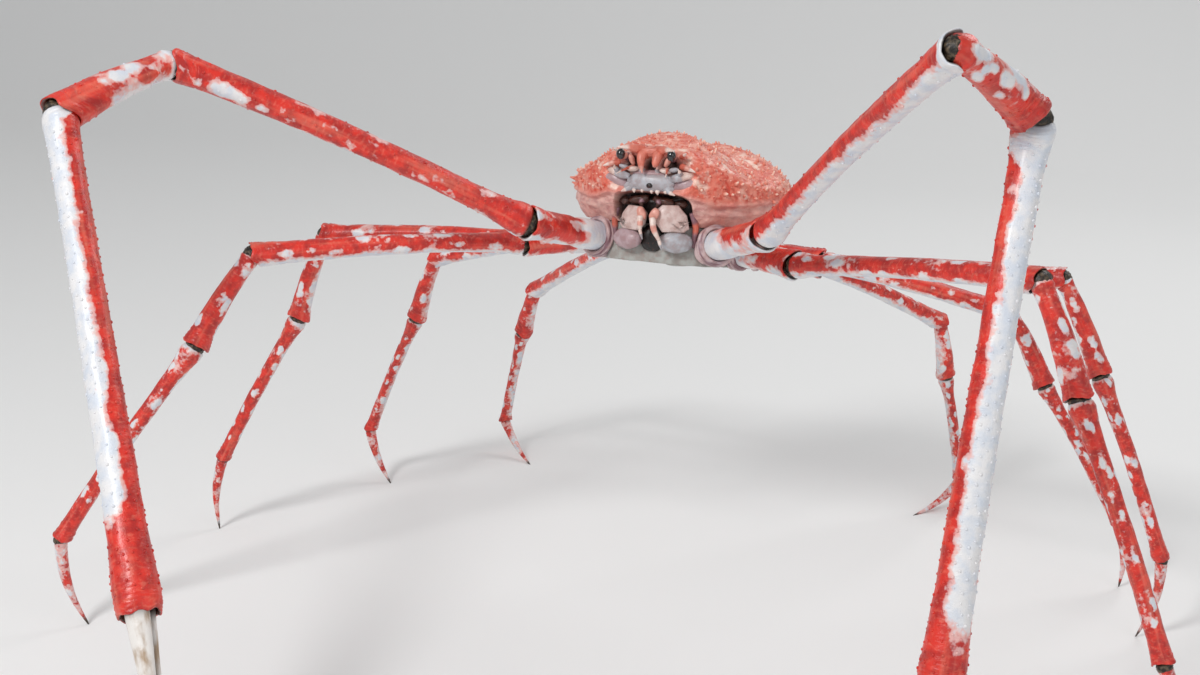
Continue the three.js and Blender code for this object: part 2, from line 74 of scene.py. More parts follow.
# %% [markdown]
# Every finish is a small network of shader nodes. One function adds a node, another feeds its inputs with values,
# colours or links, and a third turns a hex colour, given as the eye sees it, to the linear values that the
# renderer needs. A finished bmesh becomes a smooth object that sits at the origin.

# %% Helpers for nodes, colours and pieces
def linear(hex_colour):
    """Linear colour of an sRGB hex value."""
    parts = [int(hex_colour[i:i + 2], 16) / 255 for i in (1, 3, 5)]
    return [v / 12.92 if v <= 0.04045 else ((v + 0.055) / 1.055) ** 2.4 for v in parts] + [1.0]


def feed(tree, node, inputs):
    """Give inputs of a node a link, a hex colour or a plain value."""
    for name, value in inputs.items():
        if isinstance(value, bpy.types.NodeSocket):
            tree.links.new(value, node.inputs[name])
        else:
            node.inputs[name].default_value = linear(value) if isinstance(value, str) else value


def add(tree, kind, settings=None, inputs=None, output=0):
    """Add one node with its settings and inputs, and hand back one of its outputs."""
    made = tree.nodes.new(kind)
    for name, value in (settings or {}).items():
        setattr(made, name, value)
    feed(tree, made, inputs or {})
    return made.outputs[output]


def new_material(name):
    """A material with its tree and shader, ready for its pattern nodes."""
    material = bpy.data.materials.new(name)
    material.use_nodes = True
    return material, material.node_tree, material.node_tree.nodes["Principled BSDF"]


def finish_piece(name, shape, material):
    """Turn a bmesh into a smooth, named object at the origin."""
    mesh = bpy.data.meshes.new(name)
    shape.to_mesh(mesh)
    shape.free()
    mesh.materials.append(material)
    mesh.shade_smooth()
    made = bpy.data.objects.new(name, mesh)
    bpy.context.collection.objects.link(made)
    return made


print("middle grey", round(linear("#808080")[0], 3))

# %% [markdown]
# A museum photographs such a model on a plain pale sweep: a floor that curves up into a wall far behind, drawn
# here as one line and extruded sideways.

# %% Floor
SWEEP_HALF_WIDTH = 24.0
SWEEP_FRONT = -16.0
SWEEP_BACK = 5.0
SWEEP_RADIUS = 2.0
SWEEP_STEPS = 12
WALL_HEIGHT = 6.0

backdrop_paint, tree, shader = new_material("matt_studio_paper")
feed(tree, shader, {"Base Color": "#EFEFEE", "Roughness": 0.9})

shape = bmesh.new()
profile = [(SWEEP_FRONT, 0.0), (SWEEP_BACK - SWEEP_RADIUS, 0.0)]
for step in range(1, SWEEP_STEPS + 1):
    turn = math.radians(90) * step / SWEEP_STEPS
    profile.append((SWEEP_BACK - SWEEP_RADIUS * (1 - math.sin(turn)), SWEEP_RADIUS * (1 - math.cos(turn))))
profile.append((SWEEP_BACK, WALL_HEIGHT))
line = [shape.verts.new((-SWEEP_HALF_WIDTH, y, z)) for y, z in profile]
edges = [shape.edges.new(pair) for pair in zip(line, line[1:])]
swept = bmesh.ops.extrude_edge_only(shape, edges=edges)["geom"]
moved = [item for item in swept if isinstance(item, bmesh.types.BMVert)]
bmesh.ops.translate(shape, verts=moved, vec=(2 * SWEEP_HALF_WIDTH, 0, 0))
finish_piece("studio_sweep", shape, backdrop_paint)
print("sweep points", len(profile))

# %% [markdown]
# Three large soft lamps light it: a bright one in front, a gentle one at its left and a rim light from behind.
# A pale sky fills the shadows.

# %% World and lamps
world = bpy.data.worlds.new("soft_sky")
world.use_nodes = True
feed(world.node_tree, world.node_tree.nodes["Background"], {"Color": "#F2F3F5", "Strength": 0.5})
bpy.context.scene.world = world
bpy.context.scene.view_settings.view_transform = "Standard"

# Place, power in watts and size in metres
LAMPS = {
    "key_softbox": ((-1.0, -2.7, 3.1), 80, 0.9),
    "fill_softbox": ((3.0, -1.6, 1.8), 16, 2.2),
    "rim_softbox": ((1.2, 2.6, 2.8), 30, 1.6),
}
AIM = Vector((0, 0.1, 0.45))
for name, (place, power, size) in LAMPS.items():
    lamp_data = bpy.data.lights.new(name, "AREA")
    lamp_data.energy = power
    lamp_data.size = size
    lamp = bpy.data.objects.new(name, lamp_data)
    lamp.location = place
    lamp.rotation_euler = (AIM - Vector(place)).to_track_quat("-Z", "Y").to_euler()
    bpy.context.collection.objects.link(lamp)
print("lamps", list(LAMPS))

# %% [markdown]
# A crab's limb is a chain of hard tubes. Its pose is one place and turn for each tube, worked out from named
# lengths and angles: the walking legs bend in one upright plane, and their second segment is raised until the
# tip of the claw meets the floor.

# %% Limb lengths and pose
SEGMENTS = ["base", "merus", "carpus", "propodus", "dactyl"]
ROOTS = [(74, -85, -12), (94, -45, -15), (100, 0, -16), (92, 45, -15), (72, 82, -12)]
LENGTHS = [
    (148, 477, 167, 604, 182),
    (108, 357, 142, 313, 128),
    (103, 308, 135, 258, 115),
    (98, 260, 113, 229, 93),
    (91, 295, 92, 182, 100),
]
WIDTHS = [
    (43, 36, 44, 39.5, 21),
    (39, 30, 31, 24, 19),
    (38, 28, 28, 21.5, 17.5),
    (37, 26.5, 26.5, 19, 16.5),
    (34, 25.5, 25.5, 18, 15),
]
TIP_SINK = 1.2
CLAW_AZIMUTHS = {"right": (-67, -26.3, -72, -134), "left": (-42.7, -46, 64.7, -95.7)}
CLAW_ELEVATIONS = {"right": (17, 25.6, -14.2, -49.8), "left": (18.7, 34.8, -31.2, -66.9)}

# For each walking leg: base azimuth, leg azimuth, then elevations of base, carpus, propodus and dactyl
WALKING_POSE = {
    "right": [
        (-33, -36.5, 0, -56, -53, -102),
        (-9, -11, -4, -70, -60, -84),
        (13, 14, -9, -67, -62.5, -116),
        (46, 36.5, -18, -63, -69, -148),
    ],
    "left": [
        (-26, -23.6, 0, -65, -65, -72),
        (-2, 3, -4, -66, -68.5, -102),
        (15, 14.2, -9, -63, -60, -86),
        (46, 52.5, -18, -79, -77, -157),
    ],
}

print("claw arms", sum(LENGTHS[0]), "mm long")

# %% [markdown]
# Each segment gets a frame of its own, in which Y runs along it, Z is its upper side and X its hinge. The frames
# follow from the angles, joint after joint, from the roots at the breast to the tips.

# %% Frames of the segments
BODY_MATRIX = Matrix.Translation(BODY_CENTRE) @ Matrix.Rotation(-BODY_TILT, 4, "X")


def body_point(x, y, z):
    """World place of a point given in millimetres in the body's own frame."""
    return BODY_MATRIX @ (Vector((x, y, z)) * MM)


def segment_matrix(joint, sign, azimuth, elevation):
    """Frame of a segment: +Y along it, +Z its upper side, +X along its hinge."""
    turn, lift = math.radians(azimuth), math.radians(elevation)
    outward = Vector((sign * math.cos(turn), math.sin(turn), 0))
    along = outward * math.cos(lift) + Vector((0, 0, math.sin(lift)))
    upper = outward * -math.sin(lift) + Vector((0, 0, math.cos(lift)))
    across = along.cross(upper)
    turned = Matrix((across, along, upper)).transposed().to_4x4()
    return Matrix.Translation(joint) @ turned


def limb_chain(number, side):
    """Segments of one limb as dictionaries with their frame, length and width."""
    sign = 1 if side == "left" else -1
    lengths, widths = LENGTHS[number - 1], WIDTHS[number - 1]
    x, y, z = ROOTS[number - 1]
    joint = body_point(sign * x, y, z)
    if number == 1:
        azimuths = (*CLAW_AZIMUTHS[side], CLAW_AZIMUTHS[side][3])
        elevations = (*CLAW_ELEVATIONS[side], CLAW_ELEVATIONS[side][3])
    else:
        base_azimuth, azimuth, base, carpus, propodus, dactyl = WALKING_POSE[side][number - 2]
        azimuths = (base_azimuth, azimuth, azimuth, azimuth, azimuth)
        fixed = zip((0, 2, 3, 4), (base, carpus, propodus, dactyl))
        fallen = sum(lengths[i] * math.sin(math.radians(angle)) for i, angle in fixed)
        merus = math.degrees(math.asin((-TIP_SINK - joint.z / MM - fallen) / lengths[1]))
        elevations = (base, merus, carpus, propodus, dactyl)
    chain = []
    for index, name in enumerate(SEGMENTS):
        matrix = segment_matrix(joint, sign, azimuths[index], elevations[index])
        chain.append({
            "name": name, "number": number, "side": side, "sign": sign,
            "matrix": matrix, "length": lengths[index], "width": widths[index],
        })
        joint = matrix @ Vector((0, lengths[index] * MM, 0))
    return chain


def node_name(segment):
    """Name of the solid that a segment stands for."""
    limb = "claw" if segment["number"] == 1 else "leg%d" % segment["number"]
    return "%s_%s_%s" % (limb, segment["side"], segment["name"])


def tube_kind(segment):
    """Profile and marks that a segment takes: the fourth segment of a claw is its palm."""
    return "palm" if segment["number"] == 1 and segment["name"] == "propodus" else segment["name"]


LIMBS = {(number, side): limb_chain(number, side) for side in ("left", "right") for number in range(1, 6)}
print("tips", {key: round(chain[-1]["matrix"].to_translation().z, 3) for key, chain in LIMBS.items()})

# %% [markdown]
# The shell of a living spider crab is chitin hardened with chalk, and looks like wet porcelain paint. Its limbs
# are scarlet above and white below. The two meet in ragged blotches, round white spots and flames that lick
# round the limb. Each vertex carries how red its place is and how strong each mark is there, and noise measured
# in metres along the limb breaks that up.

# %% Where the limb shell is red
DEEP_RED = "#B01004"
RED = "#E0260E"
SALMON = "#F38A70"
WHITE = "#E8E6E6"
BLUISH_WHITE = "#D2D8E2"
PINK_EDGE = "#EE9583"
JOINT_STAIN_AND_CUP_SHADE = "#3A2A1C"
BLOTCHES_PER_METRE = 30
FLAMES_PER_METRE = 110
SPOTS_PER_METRE = 50
FRAY_PER_METRE = 170
GRAIN_PER_METRE = 820
MARK_NAMES = ("redness", "flame", "spot", "stain_and_shade")

# Kinds of node, and the settings of them that come back in every finish
NOISE, CELLS, CARRIED = "ShaderNodeTexNoise", "ShaderNodeTexVoronoi", "ShaderNodeAttribute"
COORDINATES, MATH, VECTOR_MATH = "ShaderNodeTexCoord", "ShaderNodeMath", "ShaderNodeVectorMath"
MIX, RANGE, BUMP = "ShaderNodeMix", "ShaderNodeMapRange", "ShaderNodeBump"
COLOURS = {"data_type": "RGBA"}
SMOOTH = {"interpolation_type": "SMOOTHSTEP"}
TIMES = {"operation": "MULTIPLY"}
SCALED_SUM = {"operation": "MULTIPLY_ADD"}


def centred_noise(tree, vector, scale, detail=3.0):
    """Noise over the shell, brought to lie round zero."""
    made = add(tree, NOISE, None, {"Vector": vector, "Scale": scale, "Detail": detail})
    return add(tree, MATH, {"operation": "SUBTRACT"}, {0: made, 1: 0.5})


limb_shell, tree, shader = new_material("wet_chitin_red_and_white")
skin = add(tree, CARRIED, {"attribute_name": "skin"}, output="Vector")
redness, flame_strength, spot_strength, stain_and_shade = (
    add(tree, CARRIED, {"attribute_name": name}, output="Fac") for name in MARK_NAMES
)
round_limb, along_limb, oval, flecked = (
    add(tree, VECTOR_MATH, TIMES, {0: skin, 1: stretch})
    for stretch in ((0.3, 1.0, 0.3), (1.0, 0.07, 1.0), (1.0, 0.62, 1.0), (0.6, 1.0, 0.6))
)
blotch = centred_noise(tree, skin, BLOTCHES_PER_METRE)
flame = centred_noise(tree, round_limb, FLAMES_PER_METRE, 2.0)
flame = add(tree, MATH, TIMES, {0: flame, 1: flame_strength})
spots = add(tree, CELLS, None, {"Vector": oval, "Scale": SPOTS_PER_METRE, "Randomness": 0.9}, "Distance")
ragged = add(tree, MATH, SCALED_SUM, {0: centred_noise(tree, skin, 90), 1: 0.65, 2: spots})
spot = add(tree, RANGE, SMOOTH, {"Value": ragged, "From Min": 0.44, "From Max": 0.14})
spot = add(tree, MATH, TIMES, {0: spot, 1: spot_strength})
fray = centred_noise(tree, skin, FRAY_PER_METRE, 4.0)
level = redness
for part, amount in ((blotch, 1.7), (flame, 3.0), (spot, -0.8), (fray, 0.9)):
    level = add(tree, MATH, SCALED_SUM, {0: part, 1: amount, 2: level})
is_red = add(tree, RANGE, SMOOTH, {"Value": level, "From Min": 0.34, "From Max": 0.64})
near_red = add(tree, RANGE, SMOOTH, {"Value": level, "From Min": 0.1, "From Max": 0.46})
halo = add(tree, MATH, SCALED_SUM, {0: is_red, 1: -1.0, 2: near_red})

# %% [markdown]
# The red itself is uneven: a deeper tone in clouds, small salmon flecks, and fine pale streaks along the limb
# that are painted highlights on its ridges.
# The two colours are then mixed by the level above, with a pink edge where they meet, brown at the joints and
# painted shade inside the cups of the far rims.

# %% Limb shell colours and surface
tone, freckle, ridge_highlight = (
    add(tree, RANGE, SMOOTH, {"Value": centred_noise(tree, *pattern), "From Min": low, "From Max": high})
    for pattern, low, high in (((skin, 70, 5.0), -0.16, 0.14), ((flecked, 260, 4.0), 0.0, 0.24),
                               ((along_limb, 110, 3.0), 0.0, 0.24))
)
reds = add(tree, MIX, COLOURS, {0: tone, 6: DEEP_RED, 7: RED}, 2)
# The flecks are the shell's own; the streaks along the limb are painted highlights on its ridges.
for streak, strength in ((freckle, 0.32), (ridge_highlight, 0.36)):
    amount = add(tree, MATH, TIMES, {0: streak, 1: strength})
    reds = add(tree, MIX, COLOURS, {0: amount, 6: reds, 7: SALMON}, 2)
whites = add(tree, MIX, COLOURS, {0: tone, 6: BLUISH_WHITE, 7: WHITE}, 2)
marked = add(tree, MIX, COLOURS, {0: is_red, 6: whites, 7: reds}, 2)
amount = add(tree, MATH, TIMES, {0: halo, 1: 0.75})
marked = add(tree, MIX, COLOURS, {0: amount, 6: marked, 7: PINK_EDGE}, 2)
# Brown at the joints, and painted shade inside the cups.
stained_and_shaded = add(tree, MIX, COLOURS, {0: stain_and_shade, 6: marked, 7: JOINT_STAIN_AND_CUP_SHADE}, 2)
relief = centred_noise(tree, skin, GRAIN_PER_METRE, 2.0)
for part, amount in ((centred_noise(tree, round_limb, 330), 1.5), (centred_noise(tree, along_limb, 150, 2.0), 0.8)):
    relief = add(tree, MATH, SCALED_SUM, {0: part, 1: amount, 2: relief})
bump = add(tree, BUMP, None, {"Height": relief, "Strength": 0.45, "Distance": 0.0012})
feed(tree, shader, {"Base Color": stained_and_shaded, "Normal": bump, "Roughness": 0.4, "IOR": 1.55, "Coat Weight": 0.22,
                    "Coat Roughness": 0.2})
print("limb shell nodes", len(tree.nodes))

# %% [markdown]
# Between the tubes lies a soft folded skin, brown and olive like wet leather; its colour follows the bump, with
# painted shade in the hollows of its folds and a painted highlight on their crests. The fingers of the big claws
# are bare horn, ivory with brown stains, and darkened by painted shade at their root and along their inner edges.

# %% Joint skin and horn materials
joint_skin, tree, shader = new_material("wet_leathery_joint_skin")
coordinates = add(tree, COORDINATES, output="Object")
folds = add(tree, NOISE, None, {"Vector": coordinates, "Scale": 210.0, "Detail": 5.0})
fold_shade_and_highlight = add(tree, RANGE, SMOOTH, {"Value": folds, "From Min": 0.42, "From Max": 0.66})
# Near black in the hollows of the folds and olive on their crests: painted shade and highlight that follow the bump.
leather = add(tree, MIX, COLOURS, {0: fold_shade_and_highlight, 6: "#17110B", 7: "#5E4F3C"}, 2)
bump = add(tree, BUMP, None, {"Height": folds, "Strength": 0.8, "Distance": 0.002})
feed(tree, shader, {"Base Color": leather, "Normal": bump, "Roughness": 0.4})

finger_horn, tree, shader = new_material("stained_and_shaded_ivory_horn")
skin = add(tree, CARRIED, {"attribute_name": "skin"}, output="Vector")
stain_and_shade = add(tree, CARRIED, {"attribute_name": "stain_and_shade"}, output="Fac")
along_horn = add(tree, VECTOR_MATH, TIMES, {0: skin, 1: (1.0, 0.3, 1.0)})
run = centred_noise(tree, along_horn, 95, 4.0)
streaks = add(tree, RANGE, SMOOTH, {"Value": run, "From Min": -0.05, "From Max": 0.2})
ivory = add(tree, MIX, COLOURS, {0: streaks, 6: "#E6E1DC", 7: "#A98F74"}, 2)
horn = add(tree, MIX, COLOURS, {0: stain_and_shade, 6: ivory, 7: "#2E2014"}, 2)
fine = centred_noise(tree, skin, 520)
bump = add(tree, BUMP, None, {"Height": fine, "Strength": 0.35, "Distance": 0.001})
feed(tree, shader, {"Base Color": horn, "Normal": bump, "Roughness": 0.36})
print("joint skin and horn nodes", len(joint_skin.node_tree.nodes), len(tree.nodes))

# %% [markdown]
# Each tube starts as a side profile of a few stations, spun round its own length like wood on a lathe. A curve
# through the stations gives the rings between, close together at the joints and further apart between them.

# %% Turned limb tubes
SECTION_DEPTH = 0.9
BOWS = {"base": 0, "merus": 0.014, "carpus": 0.02, "propodus": 0.012, "dactyl": 0.07, "palm": 0.012}
STATIONS = {
    "base": [(0, 0.84), (0.14, 1.0), (0.34, 1.05), (0.39, 0.98), (0.42, 0.9), (0.46, 0.95), (0.52, 1.0),
             (0.84, 1.0), (0.93, 1.04), (0.97, 1.07)],
    "merus": [(0, 1.14), (0.012, 1.24), (0.03, 1.22), (0.06, 1.08), (0.12, 0.96), (0.3, 0.93), (0.65, 1.0),
              (0.87, 1.06), (0.94, 1.13), (0.985, 1.22)],
    "carpus": [(0, 0.8), (0.04, 0.88), (0.08, 0.8), (0.14, 0.8), (0.3, 0.9), (0.65, 1.06), (0.88, 1.12),
               (0.975, 1.2)],
    "propodus": [(0, 1.16), (0.012, 1.36), (0.03, 1.42), (0.06, 1.3), (0.1, 1.14), (0.2, 1.0), (0.5, 0.95),
                 (0.88, 1.0), (0.96, 1.1), (0.985, 1.18)],
    "dactyl": [(0, 0.92), (0.02, 1.02), (0.05, 0.98), (0.14, 0.96), (0.4, 0.78), (0.72, 0.45), (0.9, 0.25),
               (0.985, 0.12)],
    "palm": [(0, 0.92), (0.006, 1.0), (0.016, 1.04), (0.032, 1.03), (0.06, 0.99), (0.1, 0.96), (0.2, 0.93),
             (0.35, 0.94), (0.6, 1.0), (0.84, 1.08), (0.92, 1.2), (0.955, 1.27), (0.985, 1.27), (1.0, 1.2)],
}


def smooth_step(low, high, value):
    """Zero at low, one at high and smooth between."""
    t = min(max((value - low) / (high - low), 0), 1)
    return t * t * (3 - 2 * t)


def curve_at(stations, place):
    """Radius at a place on a smooth curve through the stations."""
    index = max(i for i, (at, _) in enumerate(stations) if at <= place + 1e-9)
    index = min(index, len(stations) - 2)
    (x0, y0), (x1, y1) = stations[index], stations[index + 1]
    before = stations[max(index - 1, 0)]
    after = stations[min(index + 2, len(stations) - 1)]
    start_slope = (y1 - before[1]) / max(x1 - before[0], 1e-6)
    end_slope = (after[1] - y0) / max(after[0] - x0, 1e-6)
    span = x1 - x0
    t = min(max((place - x0) / span, 0), 1)
    value = (2 * t**3 - 3 * t**2 + 1) * y0 + (t**3 - 2 * t**2 + t) * span * start_slope * 0.7
    return value + (-2 * t**3 + 3 * t**2) * y1 + (t**3 - t**2) * span * end_slope * 0.7


print("widest stations", {kind: max(radius for _, radius in found) for kind, found in STATIONS.items()})

# %% [markdown]
# The spin starts from a line of vertices beside the axis. Near the joints, where the wrinkles and cuts come, the
# rings lie close together, and between them further apart, which saves faces where the tube is plain.

# %% Spin a profile
CLOSE_RINGS = 1.3
WIDE_RINGS = 3.6


def spun(profile, steps):
    """Bmesh of a profile of (radius, along) points spun round the Y axis and closed."""
    shape = bmesh.new()
    line = [shape.verts.new((radius, along, 0)) for radius, along in profile]
    edges = [shape.edges.new(pair) for pair in zip(line, line[1:])]
    bmesh.ops.spin(shape, geom=line + edges, cent=(0, 0, 0), axis=(0, 1, 0), angle=FULL_TURN,
                   steps=steps, use_merge=True)
    bmesh.ops.remove_doubles(shape, verts=shape.verts, dist=1e-4)
    bmesh.ops.recalc_face_normals(shape, faces=shape.faces)
    return shape


def tube_profile(kind, length, half, dome):
    """Side profile of one tube in millimetres, from its domed head to the cup of its far rim."""
    stations = STATIONS[kind]
    far = stations[-1][0] * length
    neck = stations[0][1] * half
    profile = [(0, -neck * dome), (neck * 0.55, -neck * dome * 0.88), (neck * 0.88, -neck * dome * 0.5)]
    along = 0.0
    while along < far:
        profile.append((curve_at(stations, along / length) * half, along))
        near_joint = along < 2.2 * half or along > far - 2.8 * half
        along += CLOSE_RINGS if near_joint else WIDE_RINGS
    rim = stations[-1][1] * half
    profile.append((rim, far))
    if kind == "dactyl":
        return profile + [(rim * 0.6, far + rim * 0.7), (0, far + rim)]
    lip = half * 0.16
    cup = [(rim * 1.0, far + lip * 0.6), (rim * 0.96, far + lip), (rim * 0.88, far + lip * 0.9),
           (rim * 0.82, far + lip * 0.2), (rim * 0.78, far - half * 0.5), (0, far - half * 0.6)]
    return profile + cup


print("rings of a claw's palm", len(tube_profile("palm", LENGTHS[0][3], WIDTHS[0][3] / 2, 0.32)))

# %% [markdown]
# The marks follow the animal. A limb is red on one side and white on the other. The side is given as an angle
# round the limb, from its upper side towards the side that faces the body, with how many degrees the red reaches
# to each side of it.

# %% Marks of each segment
RED_SIDES = {
    ("left", "merus"): (0, 120), ("left", "palm"): (128, 118),
    ("right", "merus"): (20, 142), ("right", "palm"): (122, 122), ("right", "carpus"): (-15, 100),
}

# Marks that stand out on the claws: place along the segment, angle, radius in mm and change of redness
SINGLE_MARKS = {
    ("right", "merus"): [
        # The marks at angles 0 to 8, on the upper side, are painted highlights along the top edge; the rest are white
        # blotches.
        (0.93, 108, 7, -0.7), (0.855, 104, 14, -1.1), (0.805, 108, 10, -1.1), (0.745, 114, 8, -0.9),
        (0.6, 0, 16, -0.5), (0.45, 5, 18, -0.5), (0.68, 8, 14, -0.4), (0.3, 120, 9, -0.6), (0.5, 112, 8, -0.6),
    ],
    ("right", "carpus"): [
        (0.52, 42, 8, -0.9), (0.36, 28, 11, -0.7), (0.1, 34, 12, -0.5), (0.2, 66, 9, -0.4), (0.3, 92, 9, 1.0),
        (0.24, 88, 6, 1.0),
    ],
    ("left", "carpus"): [
        (0.4, 99, 9, -1.1), (0.19, 113, 5, -1.0), (0.25, 94, 6, -1.0), (0.63, 93, 7, -0.8), (0.5, 54, 13, -0.7),
        (0.06, 82, 11, -0.8), (0.46, 148, 6, -0.8), (0.74, 52, 10, -0.6), (0.12, 60, 12, -0.7), (0.2, 150, 7, -0.7),
    ],
    ("left", "palm"): [
        (0.07, 40, 14, -0.9), (0.1, 20, 5, 0.9), (0.13, 34, 7, -0.8), (0.05, 80, 14, -1.2), (0.3, 10, 6, 0.5),
    ],
}


print("marks that stand out", sum(len(found) for found in SINGLE_MARKS.values()))

# %% [markdown]
# How red a place is depends on its side of the limb, on how far it is from the joints, and on the marks that
# stand out there. The same functions say how strongly flames and spots break the colour up.

# %% Redness of a place
def red_side(upper, medial, centre, reach, slope=0.8):
    """About a half where the red ends, more inside it and less outside."""
    turn = math.radians(centre)
    return 0.5 + slope * (upper * math.cos(turn) + medial * math.sin(turn) - math.cos(math.radians(reach)))


def single_marks(kind, segment, place, upper, medial):
    """Change of redness by the marks that stand out on a claw."""
    change, turn = 0.0, math.atan2(medial, upper)
    for at, degrees, radius, strength in SINGLE_MARKS.get((segment["side"], kind), ()):
        aside = math.remainder(turn - math.radians(degrees), FULL_TURN) * segment["width"] / 2
        distance = math.hypot(aside, (place - at) * segment["length"] * 0.8) / radius
        change += strength * smooth_step(1.55, 0.3, distance)
    return change


def marks(kind, segment, place, upper, medial):
    """Redness, flame strength and spot strength here; below about a half the shell turns white."""
    level, flame, spot = side_marks(kind, segment, place, upper, medial)
    if segment["number"] == 1:
        level += single_marks(kind, segment, place, upper, medial)
    return level, flame, spot


def side_marks(kind, segment, place, upper, medial):
    """The same three values without the marks that stand out."""
    side, is_claw = segment["side"], segment["number"] == 1
    if kind == "palm":
        far = smooth_step(0.78, 0.9, place) if side == "right" else smooth_step(0.84, 0.98, place)
        level = red_side(upper, medial, *RED_SIDES[(side, kind)], 1.8) + 1.6 * far
        root = 0.9 * smooth_step(0.07, 0.02, place) if side == "left" else 0.9 * smooth_step(0.03, 0.01, place)
        return level - root, 2.3, 0.6 * (1 - far)
    if kind == "merus" and is_claw:
        level = red_side(upper, medial, *RED_SIDES[(side, kind)], 1.5)
        if side == "left":
            return min(level, 1.2) - 1.6 * smooth_step(0.965, 0.985, place), 2.1, 0.1
        return min(level + 0.3 * smooth_step(0.7, 0.8, place), 0.95), 0.7, 0.5
    if kind == "carpus" and is_claw:
        far = smooth_step(0.6, 0.8, place)
        root = smooth_step(0.07, 0.02, place)
        if side == "right":
            level = min(red_side(upper, medial, *RED_SIDES[(side, kind)]), 0.8) + 1.2 * far - 0.5 * root
            return level, 0.7, 0.6 - 0.5 * far
        return 0.85 + 0.4 * far, 0.35, 0.3
    if kind == "merus":
        # The very top is made less red: a painted highlight along the top edge.
        level = min(red_side(upper, medial, 0, 116, 1.3), 0.82) - 0.14 * smooth_step(0.7, 1.0, upper)
        return level, 1.3, 0.9
    if kind in ("carpus", "propodus"):
        far = smooth_step(0.82, 0.95, place)
        level = min(red_side(upper, medial, 15, 140), 0.78) + 0.3 * far - 0.5 * smooth_step(0.03, 0.0, place)
        return level, 0.7, 1.1 * (1 - far)
    if kind == "dactyl":
        return 0.5, 0.7, 0.35
    near_body = smooth_step(0.44, 0.3, place)
    if is_claw and side == "left":
        return 0.42 + 0.3 * upper + 0.3 * smooth_step(0.7, 0.4, place) - 0.8 * near_body, 1.2, 0.3
    level = min(red_side(upper, medial, 10, 132), 0.86) - 0.8 * near_body
    return level, 0.4, 0.9


def stain_level(kind, place, along):
    """How dark the shell is at its joints and at the tip of a claw."""
    if kind == "dactyl":
        return smooth_step(0.84, 0.97, place) * 1.3
    return (0.25 if kind == "carpus" else 0.9) * smooth_step(0.5, -2.5, along)


print("redness over and under a leg", round(red_side(1, 0, 0, 116), 2), round(red_side(-1, 0, 0, 116), 2))

# %% [markdown]
# At a joint the rim of a tube is cut back where the next one folds in, and reaches a little further on the other
# side. The next tube's head is shaped to match, and swells to the two ends of the hinge, so that the tubes touch
# there and leave a dark wedge only on the outside of the bend. Each cut is one shift of the vertices along the
# tube that grows towards its end.

# %% Joint cuts
STRAIGHT = math.radians(18)
OPEN_GAPS = {("left", 1, "carpus"): (92, -40)}


def joint_between(segment, following):
    """Fold side of a joint as a unit vector in each segment's frame, and how far it is folded."""
    here = segment["matrix"].to_3x3()
    there = following["matrix"].to_3x3()
    first, second = here @ Vector((0, 1, 0)), there @ Vector((0, 1, 0))
    angle = first.angle(second)
    fold_here = here.inverted() @ (second - first * first.dot(second))
    fold_there = there.inverted() @ (second * first.dot(second) - first)
    straight = angle < STRAIGHT
    if straight:
        fold_here = fold_there = Vector((1, 0, 0))
    turns = OPEN_GAPS.get((segment["side"], segment["number"], segment["name"]))
    gap = [Vector((segment["sign"] * math.sin(math.radians(t)), 0, math.cos(math.radians(t)))) for t in turns or ()]
    return {"here": fold_here.normalized(), "there": fold_there.normalized(), "straight": straight, "gap": gap,
            "fold": 0.0 if straight else min(math.tan(angle / 2), 1.1),
            "lobes": following["name"] == "carpus" or node_name(segment) == "claw_right_carpus"}


def rim_shift(joint, outward, half):
    """How far the far rim is drawn back at an outward direction, and how much the hinge swells it."""
    toward = outward.dot(joint["here"])
    hinge = 1 - toward * toward
    if joint["straight"]:
        return half * 0.34 * toward * toward, 0.1 * hinge**3
    back = (0.05 + 0.78 * joint["fold"]) * max(toward, 0) ** 1.3 - 0.12 * max(-toward, 0) ** 1.5
    if joint["lobes"]:
        back -= 0.42 * hinge**4 + 0.3 * max(-toward, 0) ** 2
    if joint["gap"]:
        back += 1.0 * max(outward.dot(joint["gap"][0]), 0) ** 2
    return half * back, 0.14 * hinge**3


def head_shift(joint, outward, half):
    """How far the near head starts up the tube at an outward direction, and how much the hinge swells it."""
    toward = outward.dot(joint["there"])
    if joint["straight"]:
        return half * 0.1, 0.0
    start = 0.4 * joint["fold"] * max(toward, 0) + 0.05
    if joint["gap"]:
        start += 0.35 * max(outward.dot(joint["gap"][1]), 0) ** 2
    return half * start, 1 - toward * toward


claw = LIMBS[(1, "left")]
print("folds of the left claw", [round(joint_between(*pair)["fold"], 2) for pair in zip(claw, claw[1:])])

# %% [markdown]
# A tube is painted while it is still straight, then moved: swollen by soft lumps, wrinkled near its ends, cut at
# its joints, flattened, bowed, and last carried to its place on the crab.

# %% Paint a straight tube
CLAW_STEPS = 44
LEG_STEPS = 30
PATTERN_WIDTH = 30
HEAD_FLARES = {"palm": 0.2, "carpus": 0.16, "propodus": 0.0, "merus": 0.09}
HEAD_DOMES = {"claw_left_carpus": 0.8, "claw_right_carpus": 0.6}


